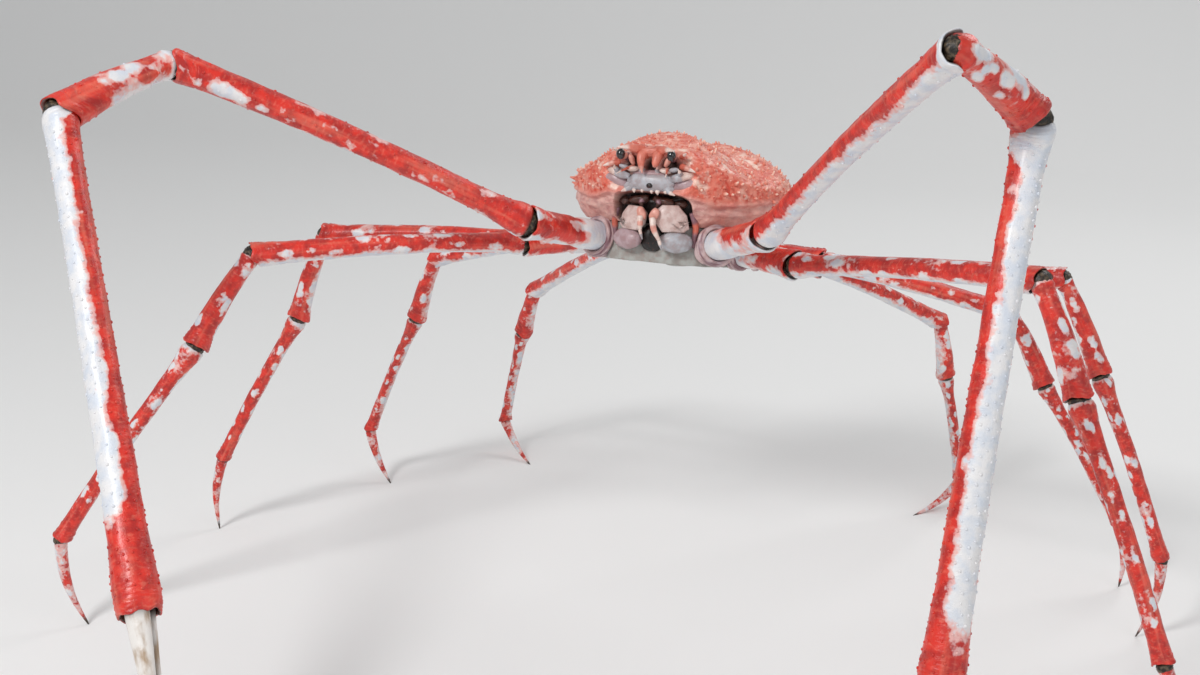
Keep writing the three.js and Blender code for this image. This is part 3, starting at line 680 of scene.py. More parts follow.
def paint(shape, kind, segment):
    """Write place, marks, joint stain and painted cup shade on every vertex of a tube still in its own frame."""
    skin = shape.verts.layers.float_vector.new("skin")
    layers = [shape.verts.layers.float.new(name) for name in MARK_NAMES]
    scale = PATTERN_WIDTH / segment["width"] * MM
    offset = Vector((segment["number"], 3 * segment["sign"], 2 * SEGMENTS.index(segment["name"])))
    for vert in shape.verts:
        radius = max(math.hypot(vert.co.x, vert.co.z), 1e-6)
        upper, medial = vert.co.z / radius, segment["sign"] * vert.co.x / radius
        place = vert.co.y / segment["length"]
        dark = stain_level(kind, place, vert.co.y)
        shell_radius = curve_at(STATIONS[kind], min(max(place, 0), STATIONS[kind][-1][0])) * segment["width"] / 2
        # Inside the cup of the far rim the shell is darkened as painted shade, where the next tube's head sits.
        if place > 0.9 and kind != "dactyl" and radius < 0.9 * shell_radius:
            dark = 0.85
        values = (*marks(kind, segment, place, upper, medial), min(dark, 1.0))
        vert[skin] = vert.co * scale + offset
        for layer, value in zip(layers, values):
            vert[layer] = value


# %% [markdown]
# The lumps and wrinkles come from noise and are strongest near the joints. Every shift and swelling is worked out
# for each vertex from its own place on the straight tube, so that the steps don't disturb each other.

# %% Shape one tube
def limb_tube(segment, before, after):
    """One tube of a limb in its own frame, in millimetres."""
    kind = tube_kind(segment)
    length, half = segment["length"], segment["width"] / 2
    dome = HEAD_DOMES.get(node_name(segment), 0.32)
    shape = spun(tube_profile(kind, length, half, dome), CLAW_STEPS if segment["number"] == 1 else LEG_STEPS)
    paint(shape, kind, segment)
    seed = Vector((segment["number"] * 7.1, segment["sign"] * 3.3, SEGMENTS.index(segment["name"]) * 5.7))
    for vert in shape.verts:
        x, y, z = vert.co
        radius = max(math.hypot(x, z), 1e-6)
        outward = Vector((x / radius, 0, z / radius))
        near_head = smooth_step(2.4 * half, 0.3 * half, y)
        near_rim = smooth_step(length - 3.2 * half, length - 0.5 * half, y)
        ends = 0.12 + 0.9 * max(near_rim, 0.6 * near_head)
        ripple = noise.noise(Vector((x * 0.05, y * 0.45, z * 0.05)) + seed)
        ridge = noise.noise(Vector((x * 0.28, y * 0.012, z * 0.28)) + seed)
        lump = noise.noise(Vector((x, y * 0.6, z)) * 0.07 + seed)
        swell = 1 + (1.1 * ripple * ends + 0.45 * ridge + 0.9 * lump) / max(radius, 8)
        shift = 0.0
        if after and kind != "palm":
            back, hinge = rim_shift(after, outward, half)
            edge = noise.noise(outward * 2.2 + seed) * half * 0.12
            shift -= (back + edge) * near_rim
            swell += hinge * smooth_step(length - 1.6 * half, length - 0.3 * half, y)
        elif kind == "palm":
            edge = noise.noise(outward * 2.0 + seed)
            shift -= (0.02 + 0.2 * edge) * half * smooth_step(length - 1.2 * half, length, y)
        if before:
            start, hinge = head_shift(before, outward, half)
            shift += start * near_head
            width = HEAD_FLARES.get(kind, 0.12) * hinge
            swell += width * smooth_step(2.8 * half, 0.6 * half, y) * smooth_step(-0.9 * half, 0.1 * half, y)
        bow = BOWS[kind] * length * math.sin(math.pi * min(max(y / length, 0), 1))
        vert.co = Vector((x * swell, y + shift, z * swell * SECTION_DEPTH + bow))
    return shape


def carried(shape, matrix):
    """Take a bmesh from millimetres in a local frame to metres in the world, and flatten it on the floor."""
    bmesh.ops.scale(shape, verts=shape.verts, vec=(MM, MM, MM))
    bmesh.ops.transform(shape, verts=shape.verts, matrix=matrix)
    for vert in shape.verts:
        vert.co.z = max(vert.co.z, 0)
    return shape


# %% [markdown]
# The claws of an old male are rough with round grains. They are small balls set on vertices drawn at random, none
# too near another, and each takes over the marks of the shell under it, so that it has the same colour.

# %% Grains of the claws
GRANULES = {"palm": 480, "carpus": 70, "merus": 110}
GRANULE_SPACING = 8.5


def granules_on(shape, kind, segment):
    """Small round grains standing on a claw's tube, tinted like the shell under them."""
    draw = random.Random(segment["sign"] + 10 * segment["number"] + len(kind))
    shape.normal_update()
    low, high = 0.05 * segment["length"], 0.97 * segment["length"]
    free = [vert for vert in shape.verts if low < vert.co.y < high]
    draw.shuffle(free)
    grains = bmesh.new()
    skin = grains.verts.layers.float_vector.new("skin")
    layers = [grains.verts.layers.float.new(name) for name in MARK_NAMES]
    source_skin = shape.verts.layers.float_vector["skin"]
    sources = [shape.verts.layers.float[name] for name in MARK_NAMES]
    chosen = []
    for vert in free:
        if len(chosen) == GRANULES[kind]:
            break
        if any((vert.co - other).length < GRANULE_SPACING for other in chosen):
            continue
        chosen.append(vert.co.copy())
        size = draw.uniform(1.1, 2.0)
        turned = vert.normal.to_track_quat("Z", "Y").to_matrix().to_4x4()
        matrix = Matrix.Translation(vert.co) @ turned @ Matrix.Diagonal((size, size, size * 0.8, 1))
        made = bmesh.ops.create_icosphere(grains, subdivisions=2, radius=1, matrix=matrix)["verts"]
        for grain in made:
            grain[skin] = vert[source_skin]
            for layer, source in zip(layers, sources):
                grain[layer] = vert[source]
    return grains


# %% [markdown]
# Now every limb is built from root to tip. Each tube needs to know the joints before and after it, and replaces
# its solid.

# %% Assemble the limbs
triangles = 0
for (number, side), chain in LIMBS.items():
    joints = [joint_between(*pair) for pair in zip(chain, chain[1:])]
    for index, segment in enumerate(chain):
        if number == 1 and segment["name"] == "dactyl":
            continue
        before = joints[index - 1] if index else None
        after = joints[index] if index < len(joints) else None
        tube = limb_tube(segment, before, after)
        kind = tube_kind(segment)
        if number == 1 and kind in GRANULES:
            grains = granules_on(tube, kind, segment)
            piece = finish_piece(node_name(segment) + "_granules", carried(grains, segment["matrix"]), limb_shell)
            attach(piece, "root")
        piece = finish_piece(node_name(segment) + "_shell", carried(tube, segment["matrix"]), limb_shell)
        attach(piece, "root")
        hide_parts(node_name(segment))
        triangles += len(piece.data.polygons) * 2
print("limb triangles", triangles)

# %% [markdown]
# The joint skin fills each cup. It is a ball a little smaller than the rim, creased by rings as the skin folds
# when the joint bends.

# %% Joint skins
SKIN_SIZES = {"base": 0.84, "merus": 0.92, "carpus": 0.9, "propodus": 0.86}


def joint_ball(segment):
    """Creased ball of skin in the cup at the far end of a segment."""
    shape = bmesh.new()
    size = segment["width"] / 2 * SKIN_SIZES[segment["name"]]
    bmesh.ops.create_uvsphere(shape, u_segments=32, v_segments=24, radius=size)
    for vert in shape.verts:
        crease = 1 + 0.03 * math.sin(vert.co.y * 2.1) + 0.05 * noise.noise(vert.co * 0.22)
        place = vert.co * crease
        vert.co = Vector((place.x, place.y * 0.85 + segment["length"], place.z * SECTION_DEPTH))
    return shape


filled = 0
for (number, side), chain in LIMBS.items():
    for segment in chain[:-1]:
        if number == 1 and segment["name"] == "propodus":
            continue
        shape = carried(joint_ball(segment), segment["matrix"])
        ball = finish_piece(node_name(segment) + "_joint_skin", shape, joint_skin)
        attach(ball, "root")
        filled += 1
print("joints filled", filled)

# %% [markdown]
# The big claws end in two slim fingers of bare horn that close along their whole length, the moving one on the
# palm's upper side. Each is spun like the tubes, then set beside the palm's axis, curved in so that the points
# meet, and turned to its side of the palm.

# %% Claw fingers
FINGER_OFFSET, FINGER_TIP_OFFSET, FINGER_BULGE = 10.8, 3.4, 2.0
FINGER_ROOT, FINGER_TIP, FINGER_DEPTH = 11.0, 2.1, 1.34
FINGER_LEAN = 22


def finger(segment, is_fixed, start):
    """One finger of a claw, in the palm's frame."""
    length = segment["length"]
    profile = [(0, start)]
    rings = 70
    for ring in range(rings + 1):
        along = ring / rings
        radius = FINGER_ROOT + (FINGER_TIP - FINGER_ROOT) * along ** 0.85
        profile.append((radius, start + 2 + (length - start - 4) * along))
    profile += [(FINGER_TIP * 0.6, length - 0.6), (0, length)]
    shape = spun(profile, 40)
    skin = shape.verts.layers.float_vector.new("skin")
    stain_and_shade = shape.verts.layers.float.new("stain_and_shade")
    for vert in shape.verts:
        x, y, z = vert.co
        along = min(max(y / length, 0), 1)
        vert[skin] = vert.co * MM + Vector((segment["sign"] * 2, 3 * is_fixed, 0))
        inner = max(-x / max(math.hypot(x, z), 1e-6), 0)
        root = 0.75 * smooth_step(0.07, -0.02, y / length)
        # The tip is stained; the darkening at the root, in the palm's collar, and on the inner edge, where the
        # fingers close, is painted shade.
        vert[stain_and_shade] = min(root + 0.7 * inner**2 + smooth_step(0.95, 1.0, along), 1)
        straight = FINGER_OFFSET + (FINGER_TIP_OFFSET - FINGER_OFFSET) * along
        offset = straight + FINGER_BULGE * math.sin(math.pi * along) ** 2
        tooth = 1.3 * inner * math.sin(y * 0.5 + 3 * is_fixed) * smooth_step(0.02, 0.1, along) * (1 - along)
        lump = 1 + 0.05 * noise.noise(vert.co * 0.06 + Vector((0, 0, 9 * is_fixed)))
        vert.co = Vector((x * lump + offset - tooth, y, z * FINGER_DEPTH * lump))
    upward = -90 - segment["sign"] * FINGER_LEAN
    turn = Matrix.Rotation(math.radians(upward + 180 * is_fixed), 3, "Y")
    bmesh.ops.rotate(shape, verts=shape.verts, cent=(0, 0, 0), matrix=turn)
    return carried(shape, segment["matrix"])


for side in ("left", "right"):
    moving = LIMBS[(1, side)][-1]
    thumb = finish_piece("claw_%s_fixed_finger" % side, finger(moving, True, -20), finger_horn)
    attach(thumb, "root")
    free = finish_piece("claw_%s_moving_finger" % side, finger(moving, False, -16), finger_horn)
    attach(free, "root")
    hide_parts(node_name(moving))
    pad = bmesh.new()
    bmesh.ops.create_uvsphere(pad, u_segments=28, v_segments=16, radius=20)
    bmesh.ops.scale(pad, verts=pad.verts, vec=(1.0, 0.45, 0.95))
    bmesh.ops.translate(pad, verts=pad.verts, vec=(0, -9, 0))
    socket = finish_piece("claw_%s_finger_skin" % side, carried(pad, moving["matrix"]), joint_skin)
    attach(socket, "root")
print("claw fingers", round(LIMBS[(1, "left")][-1]["length"]), "mm long")

# %% [markdown]
# The back is one swollen shell: a raised stomach region in front, two broad gill regions behind and grooves
# between them. It starts from a ball whose every direction is given its own distance, as the solid's is. The
# face is finer: its faces are subdivided, then pressed in for the mouth, the eyes and the hollows by the horns.

# %% Carapace shell
HALF_WIDTH, FRONT, BACK, MIDDLE, TOP, BOTTOM, UNDERSIDE = 147, 158, 156, 58, 65, 88, 12
FRONT_NARROWING, FRONT_RISE, BACK_DROP = 0.34, 21, 20
REGIONS = [
    (23, -66, 33, 10), (-23, -66, 33, 10), (70, 51, 50, 7), (-70, 51, 50, 7), (0, 66, 26, 8),
    (30, -18, 20, -7), (-30, -18, 20, -7), (114, -53, 50, -29), (-114, -53, 50, -29),
]


def full(value):
    """Slightly squared direction, which fills out the shell's corners."""
    return math.copysign(abs(value) ** 0.92, value)


def carapace_point(nx, ny, nz):
    """Point of the shell in millimetres for a direction from its middle."""
    forward, rearward = max(-ny, 0), max(ny, 0)
    y = ny * (FRONT if ny < 0 else BACK)
    x = full(nx) * HALF_WIDTH * (1 - FRONT_NARROWING * forward**2)
    centre = MIDDLE + FRONT_RISE * forward**2 - BACK_DROP * rearward**2
    if nz > 0:
        lift = sum(h * math.exp(-((x - cx) ** 2 + (y - cy) ** 2) / spread**2) for cx, cy, spread, h in REGIONS)
        z = centre + full(nz) * (TOP + lift)
    else:
        z = centre + full(nz) * BOTTOM
    return Vector((x, y, max(z, UNDERSIDE)))


def hollow(x, z, centre_x, centre_z, half_width, half_height, edge, power=2):
    """One inside a rounded patch of the face, zero outside it."""
    distance = (abs((x - centre_x) / half_width) ** power + abs((z - centre_z) / half_height) ** power) ** (1 / power)
    return smooth_step(1 + edge, 1 - edge, distance)


def face_relief(x, y, z):
    """How far the face is pressed in, and how much painted shade darkens it there."""
    front = smooth_step(-75, -105, y)
    mask = hollow(x, z, 0, 74, 50, 27, 0.3)
    mouth = hollow(x, z, 4, 30, 50, 22, 0.1, 4)
    middle = hollow(x, z, 0, 85, 7, 10, 0.35)
    side = hollow(abs(x), z, 24, 90, 7, 7, 0.35)
    orbit = hollow(abs(x), z, 38, 95, 12, 11, 0.35)
    under_eye_shade = hollow(abs(x), z, 29, 84, 13, 8, 0.5)
    depth = 18 * mask + 24 * mouth + 14 * middle + 9 * side + 8 * orbit
    # The mouth, the pits by the horns, the orbits and a patch under each eye are darkened: painted shade.
    dark = max(mouth, 0.95 * middle, 0.85 * side, 0.15 * orbit, 0.75 * under_eye_shade)
    return depth * front, dark * front, mask * front


print("depth of the mouth", round(face_relief(4, FRONT * -1.0, 30)[0], 1), "mm")

# %% [markdown]
# The shell of the back is dry, rough chitin: salmon red with cream clouds, warm orange where it is thick, and
# pinkish grey on its smooth lower sides. The pits of its surface are too fine for geometry, so they are bump.

# %% Carapace material
FACE_MARKS = ("pale", "dark", "orange")
carapace_shell, tree, shader = new_material("rough_chitin_salmon")
skin = add(tree, CARRIED, {"attribute_name": "skin"}, output="Vector")
pale, dark, orange = (add(tree, CARRIED, {"attribute_name": name}, output="Fac") for name in FACE_MARKS)
layered = add(tree, VECTOR_MATH, TIMES, {0: skin, 1: (1.0, 1.0, 3.0)})
broad, small, cloud, folded = (
    add(tree, RANGE, SMOOTH, {"Value": centred_noise(tree, *pattern), "From Min": low, "From Max": high})
    for pattern, low, high in (((skin, 24, 4.0), -0.12, 0.12), ((skin, 130, 4.0), -0.06, 0.16),
                               ((skin, 52, 3.0), 0.03, 0.2), ((layered, 60, 4.0), -0.16, 0.16))
)
speckled = add(tree, MATH, TIMES, {0: small, 1: 0.7})
clouded = add(tree, MATH, TIMES, {0: cloud, 1: 0.9})
patchy = add(tree, MATH, SCALED_SUM, {0: broad, 1: 0.5, 2: small})
glowing = add(tree, MATH, TIMES, {0: orange, 1: patchy})
flushed = add(tree, MATH, TIMES, {0: broad, 1: 0.5})
back = add(tree, MIX, COLOURS, {0: broad, 6: "#E57660", 7: "#F2A793"}, 2)
for amount, colour in ((speckled, "#CE3F28"), (clouded, "#FADCCB"), (glowing, "#D4340F")):
    back = add(tree, MIX, COLOURS, {0: amount, 6: back, 7: colour}, 2)
flank = add(tree, MIX, COLOURS, {0: folded, 6: "#C29590", 7: "#EBC6BB"}, 2)
flank = add(tree, MIX, COLOURS, {0: flushed, 6: flank, 7: "#DB8D7C"}, 2)
washed = add(tree, MIX, COLOURS, {0: pale, 6: back, 7: flank}, 2)
# Near black where the face is pressed in: painted shade in its hollows.
shaded = add(tree, MIX, COLOURS, {0: dark, 6: washed, 7: "#1C100C"}, 2)
pits = centred_noise(tree, skin, 430, 4.0)
bump = add(tree, BUMP, None, {"Height": pits, "Strength": 0.6, "Distance": 0.002})
feed(tree, shader, {"Base Color": shaded, "Normal": bump, "Roughness": 0.45, "Coat Weight": 0.25,
                    "Coat Roughness": 0.25})
print("carapace shell nodes", len(tree.nodes))

# %% [markdown]
# The ball's faces are split finer where the face will be, then every vertex is pushed out to the shell's surface,
# lifted by soft lumps and the folds along its side, and pressed in at the face. The same step writes how pale or
# orange it is there, and how dark the painted shade makes the face's hollows.

# %% Build the carapace
ORANGE_PATCHES = [
    (80, -96, 66, 22), (-74, -112, 64, 22), (-6, -136, 118, 14), (118, -50, 70, 22), (-118, -50, 70, 22),
]
FOLD_REACH = 140
FOLDS = [(x / FOLD_REACH, z) for x, z in ((0, 50), (54, 49), (85, 42), (112, 45), (140, 52))]

shape = bmesh.new()
bmesh.ops.create_icosphere(shape, subdivisions=7, radius=1)
face_edges = [
    edge for edge in shape.edges
    if all(v.co.y < -0.62 and abs(v.co.x) < 0.6 and -0.85 < v.co.z < 0.42 for v in edge.verts)
]
bmesh.ops.subdivide_edges(shape, edges=face_edges, cuts=2, use_grid_fill=True)
bmesh.ops.triangulate(shape, faces=[face for face in shape.faces if len(face.verts) > 4])
skin = shape.verts.layers.float_vector.new("skin")
pale, dark, orange = (shape.verts.layers.float.new(name) for name in FACE_MARKS)
for vert in shape.verts:
    point = carapace_point(*vert.co.normalized())
    outward = Vector((point.x, point.y * 0.9, point.z - MIDDLE)).normalized()
    above = smooth_step(UNDERSIDE + 1, UNDERSIDE + 8, point.z)
    upper = smooth_step(44, 60, point.z)
    lump = noise.fractal(point * 0.05, 1.0, 2.0, 3) * 2.2 * above + noise.noise(point * 0.2) * 0.9 * upper
    fold_height = curve_at(FOLDS, min(abs(point.x) / FOLD_REACH, 1))
    over = point.z - fold_height
    seam = math.exp(-(over / 2.2) ** 2) - 0.8 * math.exp(-((over + 5) / 3) ** 2)
    second = 0.6 * math.exp(-((over + 13) / 2.4) ** 2)
    depth, shade, mask = face_relief(point.x, point.y, point.z)
    quiet = 1 - min(depth / 10, 1)
    place = point + outward * (lump * quiet + 2.6 * (seam + second) * above * smooth_step(44, 60, abs(point.x)))
    place.y += depth
    vert.co = place
    vert[skin] = point * MM
    vert[pale] = max(0.85 * smooth_step(fold_height + 8, fold_height - 6, point.z), 0.9 * mask)
    vert[dark] = shade
    near = sum(0.85 * math.exp(-(point - Vector(patch[:3])).length_squared / patch[3] ** 2)
               for patch in ORANGE_PATCHES)
    vert[orange] = min(near, 1) * (1 - mask)
shell = finish_piece("carapace_shell", carried(shape, BODY_MATRIX), carapace_shell)
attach(shell, "root")
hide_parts("carapace")
print("carapace triangles", sum(len(p.vertices) - 2 for p in shell.data.polygons))

# %% [markdown]
# Some hundreds of low pointed tubercles stud the back, rusty at the foot and cream on the upper half, which is
# their paler tip with a painted highlight on it. Each is a small cone set along the shell's outward direction at a
# place drawn at random, none too near another. Larger spines stand along the side margin and none on the face or
# the smooth lower sides.

# %% Tubercles and margin spines
tubercle_shell, tree, shader = new_material("tubercle_chitin_with_painted_highlight")
rise = add(tree, CARRIED, {"attribute_name": "rise"}, output="Fac")
pale_tip_and_highlight = add(tree, MIX, COLOURS, {0: rise, 6: "#DE6E58", 7: "#FAD6C2"}, 2)
feed(tree, shader, {"Base Color": pale_tip_and_highlight, "Roughness": 0.38})

TUBERCLE_COUNT = 900
TUBERCLE_TRIES = 26000
TUBERCLE_SPACING = 8.2


def outward_at(direction):
    """Outward normal of the shell in a direction, from two neighbours."""
    sideways = Vector((0, 1, 0)).cross(direction).normalized()
    upward = direction.cross(sideways).normalized()
    centre = carapace_point(*direction)
    first = carapace_point(*(direction + sideways * 0.02).normalized()) - centre
    second = carapace_point(*(direction + upward * 0.02).normalized()) - centre
    return first.cross(second).normalized()


draw = random.Random(7)
grid = {}
shape = bmesh.new()
rise = shape.verts.layers.float.new("rise")
placed = 0
for attempt in range(TUBERCLE_TRIES):
    if placed == TUBERCLE_COUNT:
        break
    ny = draw.uniform(-0.96, 0.97)
    turn = draw.uniform(0, FULL_TURN)
    ring = math.sqrt(1 - ny * ny)
    direction = Vector((ring * math.cos(turn), ny, ring * math.sin(turn)))
    point = carapace_point(*direction)
    on_face = abs(point.x) < 60 and point.y < -112 and point.z < 110
    if point.z < 52 or on_face:
        continue
    cell = tuple(int(math.floor(v / TUBERCLE_SPACING)) for v in point)
    near = [grid.get((cell[0] + i, cell[1] + j, cell[2] + k), ())
            for i in (-1, 0, 1) for j in (-1, 0, 1) for k in (-1, 0, 1)]
    if any((other - point).length < TUBERCLE_SPACING for cells in near for other in cells):
        continue
    grid.setdefault(cell, []).append(point)
    margin = point.z < 74 and draw.random() < 0.3
    size = draw.uniform(0.35, 1.0) ** 2
    height = 8.0 * size + 2 if margin else 4.0 * size + 0.9
    radius = 3.0 * size + 1.3 if margin else 2.5 * size + 1.1
    lean = (outward_at(direction) + Vector((draw.uniform(-0.2, 0.2), -0.3, draw.uniform(0, 0.35)))).normalized()
    turned = lean.to_track_quat("Z", "Y").to_matrix().to_4x4()
    base = Matrix.Translation(point + lean * (height / 2 - 1.2)) @ turned
    tone = draw.choice((0.25, 0.5, 1.0))
    cone = bmesh.ops.create_cone(shape, cap_ends=True, segments=7, radius1=radius, radius2=radius * 0.24,
                                 depth=height + 2.4, matrix=base)["verts"]
    for vert in cone:
        # The upper half takes the cream of a paler tip and a painted highlight; the foot stays rusty.
        vert[rise] = tone if (vert.co - point).dot(lean) > height * 0.5 else 0.1
    placed += 1
studs = finish_piece("carapace_tubercles", carried(shape, BODY_MATRIX), tubercle_shell)
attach(studs, "root")
print("tubercles", placed, "triangles", sum(len(p.vertices) - 2 for p in studs.data.polygons))

# %% [markdown]
# The soft-looking parts of the head and breast are chitin too, but smooth and little coloured: lilac grey, pink
# and cream. One material takes its base colour from the vertices, so that each lobe has its own, and clouds it.

# %% Bare shell material
bare_shell, tree, shader = new_material("smooth_bare_chitin")
coordinates = add(tree, COORDINATES, output="Object")
tint = add(tree, CARRIED, {"attribute_name": "tint"}, output="Color")
cloud, vein = (centred_noise(tree, coordinates, scale, detail) for scale, detail in ((110, 4.0), (300, 3.0)))
clouds = add(tree, RANGE, SMOOTH, {"Value": cloud, "From Min": -0.14, "From Max": 0.16})
veins = add(tree, RANGE, SMOOTH, {"Value": vein, "From Min": 0.06, "From Max": 0.2})
darker = add(tree, MIX, {**COLOURS, "blend_type": "MULTIPLY"}, {0: 1.0, 6: tint, 7: "#E6D9D6"}, 2)
clouded = add(tree, MIX, COLOURS, {0: clouds, 6: darker, 7: tint}, 2)
faint = add(tree, MATH, TIMES, {0: veins, 1: 0.14})
veined = add(tree, MIX, COLOURS, {0: faint, 6: clouded, 7: "#B65A48"}, 2)
fine = centred_noise(tree, coordinates, 600)
bump = add(tree, BUMP, None, {"Height": fine, "Strength": 0.4, "Distance": 0.001})
feed(tree, shader, {"Base Color": veined, "Normal": bump, "Roughness": 0.4, "Coat Weight": 0.25,
                    "Coat Roughness": 0.25})

LILAC, PINK, CREAM, GREY = "#B79FA4", "#E8A898", "#EFDCD2", "#B6B8BE"
FLESH, BROWN, SHADE_BLACK, ORANGE = "#DA705A", "#4A2D24", "#120B09", "#D5623C"
PLUM, GREENISH, ROSE = "#8F6A74", "#A9ABA6", "#E58672"
print("bare shell nodes", len(tree.nodes))

# %% [markdown]
# The head and breast are put together from two simple forms: a rounded lobe, and a horn or ridge that is drawn
# out of a small circle by one extrusion after another along a smooth path. Both are dyed as they are made.

# %% Lobes, horns and ridges

def tinted_shape():
    """Empty bmesh whose vertices can carry a tint."""
    made = bmesh.new()
    made.verts.layers.float_color.new("tint")
    return made


def dye(shape, verts, colour):
    """Give vertices one tint."""
    layer = shape.verts.layers.float_color["tint"]
    value = linear(colour)
    for vert in verts:
        vert[layer] = value


def lobe(shape, centre, radii, colour, turn=(0, 0, 0), lump=0.1):
    """Rounded, slightly uneven swelling."""
    made = bmesh.ops.create_uvsphere(shape, u_segments=24, v_segments=16, radius=1)["verts"]
    turned = Matrix.Rotation(math.radians(turn[2]), 3, "Z") @ Matrix.Rotation(math.radians(turn[1]), 3, "Y")
    turned = turned @ Matrix.Rotation(math.radians(turn[0]), 3, "X")
    middle = Vector(centre)
    for vert in made:
        swell = 1 + lump * noise.noise(vert.co * 1.6 + middle * 0.13) + 0.4 * lump * noise.noise(vert.co * 4 + middle)
        place = Vector((vert.co.x * radii[0], vert.co.y * radii[1], vert.co.z * radii[2])) * swell
        vert.co = turned @ place + middle
    dye(shape, made, colour)


def tapered(shape, points, radii, colours, sides=12):
    """Round horn, spine or ridge along a smooth path, with a radius and a tint for each point."""
    stops = len(points) - 1
    steps = 5 * stops
    knots = [[(i / stops, value) for i, value in enumerate(part)] for part in (*zip(*points), radii)]
    path = [Vector([curve_at(knot, step / steps) for knot in knots[:3]]) for step in range(steps + 1)]
    sizes = [max(curve_at(knots[3], step / steps), 0.3) for step in range(steps + 1)]
    direction = (path[1] - path[0]).normalized()
    turned = direction.to_track_quat("Z", "Y").to_matrix().to_4x4()
    ring = bmesh.ops.create_circle(shape, cap_ends=True, segments=sides, radius=sizes[0],
                                   matrix=Matrix.Translation(path[0]) @ turned)["verts"]
    edges = list({edge for vert in ring for edge in vert.link_edges})
    dye(shape, ring, colours[0])
    for step in range(1, steps + 1):
        grown = bmesh.ops.extrude_edge_only(shape, edges=edges)["geom"]
        ring = [item for item in grown if isinstance(item, bmesh.types.BMVert)]
        edges = [item for item in grown if isinstance(item, bmesh.types.BMEdge)]
        following = (path[min(step + 1, steps)] - path[step - 1]).normalized()
        bend = direction.rotation_difference(following).to_matrix()
        ratio = sizes[step] / sizes[step - 1]
        for vert in ring:
            vert.co = path[step] + bend @ (vert.co - path[step - 1]) * ratio
        direction = following
        dye(shape, ring, colours[min(int(step / steps * len(colours)), len(colours) - 1)])
    bmesh.ops.edgeloop_fill(shape, edges=edges)


def mirrored(points, sign):
    """Points with X turned to one side of the crab."""
    return [(sign * x, y, z) for x, y, z in points]


def bare_piece(name, shape, replaced=None):
    """Finish a tinted piece of the head or breast."""
    bmesh.ops.recalc_face_normals(shape, faces=shape.faces)
    made = finish_piece(name, carried(shape, BODY_MATRIX), bare_shell)
    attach(made, "root")
    if replaced:
        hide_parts(replaced)
    print(name, "triangles", sum(len(p.vertices) - 2 for p in made.data.polygons))


# %% [markdown]
# Two horns hang from the brow over the face like fangs, and a spine stands out above each eye. Below them a grey
# plate, the epistome, closes the face over the mouth, with a pit in its middle, painted as a black bead of shade,
# and small teeth along its edge.

# %% Horns, brow and epistome
HORN_TIPS = {-1: 76, 1: 85}
HORN_SHIFT = 1.5

shape = tinted_shape()
lobe(shape, (0, -136, 104), (22, 13, 7), ROSE, lump=0.25)
for sign in (-1, 1):
    horn = [(8.5, -136, 103), (10.5, -147, 98), (9.5, -151, 88), (7, -150, HORN_TIPS[sign])]
    horn = [(x + sign * HORN_SHIFT, y, z) for x, y, z in horn]
    tapered(shape, mirrored(horn, sign), [8.5, 6.4, 4.4, 0.6], [FLESH, ROSE, ROSE, PINK], 16)
    brow = [(8, -138, 105), (22, -149, 107.5), (38.5, -159, 107)]
    tapered(shape, mirrored(brow, sign), [7.5, 4.6, 0.7], [FLESH, ROSE, CREAM], 14)
    lobe(shape, (sign * 24.5, -141, 93), (3.6, 5, 8), PINK, turn=(0, sign * 24, 0))
    lobe(shape, (sign * 22, -141, 81), (8, 6, 3.4), CREAM, turn=(0, sign * 8, 0))
    lobe(shape, (sign * 34, -142, 83), (7, 5, 3), GREY, turn=(0, -sign * 10, 0))
    lobe(shape, (sign * 11, -136, 79), (5, 5, 5), GREY)
bare_piece("head_horns_and_brow", shape)

shape = tinted_shape()
lobe(shape, (2, -136, 66), (33, 9, 12.5), GREY, lump=0.05)
lobe(shape, (1, -135, 76), (24, 7, 5), LILAC)
# The pit in the middle is a black bead: painted shade.
lobe(shape, (3.5, -144.2, 61), (4.2, 2.6, 3.4), SHADE_BLACK)
for sign in (-1, 1):
    lobe(shape, (sign * 24, -134, 60), (11, 7, 7), GREY, turn=(0, sign * 20, 0))
    corner = [(24, -136, 58), (31, -139, 53.5), (37, -138, 51)]
    tapered(shape, mirrored(corner, sign), [4.5, 2.8, 0.6], [GREY, CREAM])
for x, width, drop in ((-19, 3.5, 50.5), (-8, 3, 51.5), (5, 3.2, 50.8), (13, 4, 49.8), (24, 3.4, 52)):
    tapered(shape, [(x, -135, 58), (x, -138.5, 54), (x + 0.5, -138, drop)], [width, width * 0.8, 0.5], [GREY, CREAM])
bare_piece("head_epistome", shape)

# %% [markdown]
# Ridges run from the face to its sides below the eyes, each ending in small spines, with pink and lilac cheeks
# under them and an orange seam over the mouth.

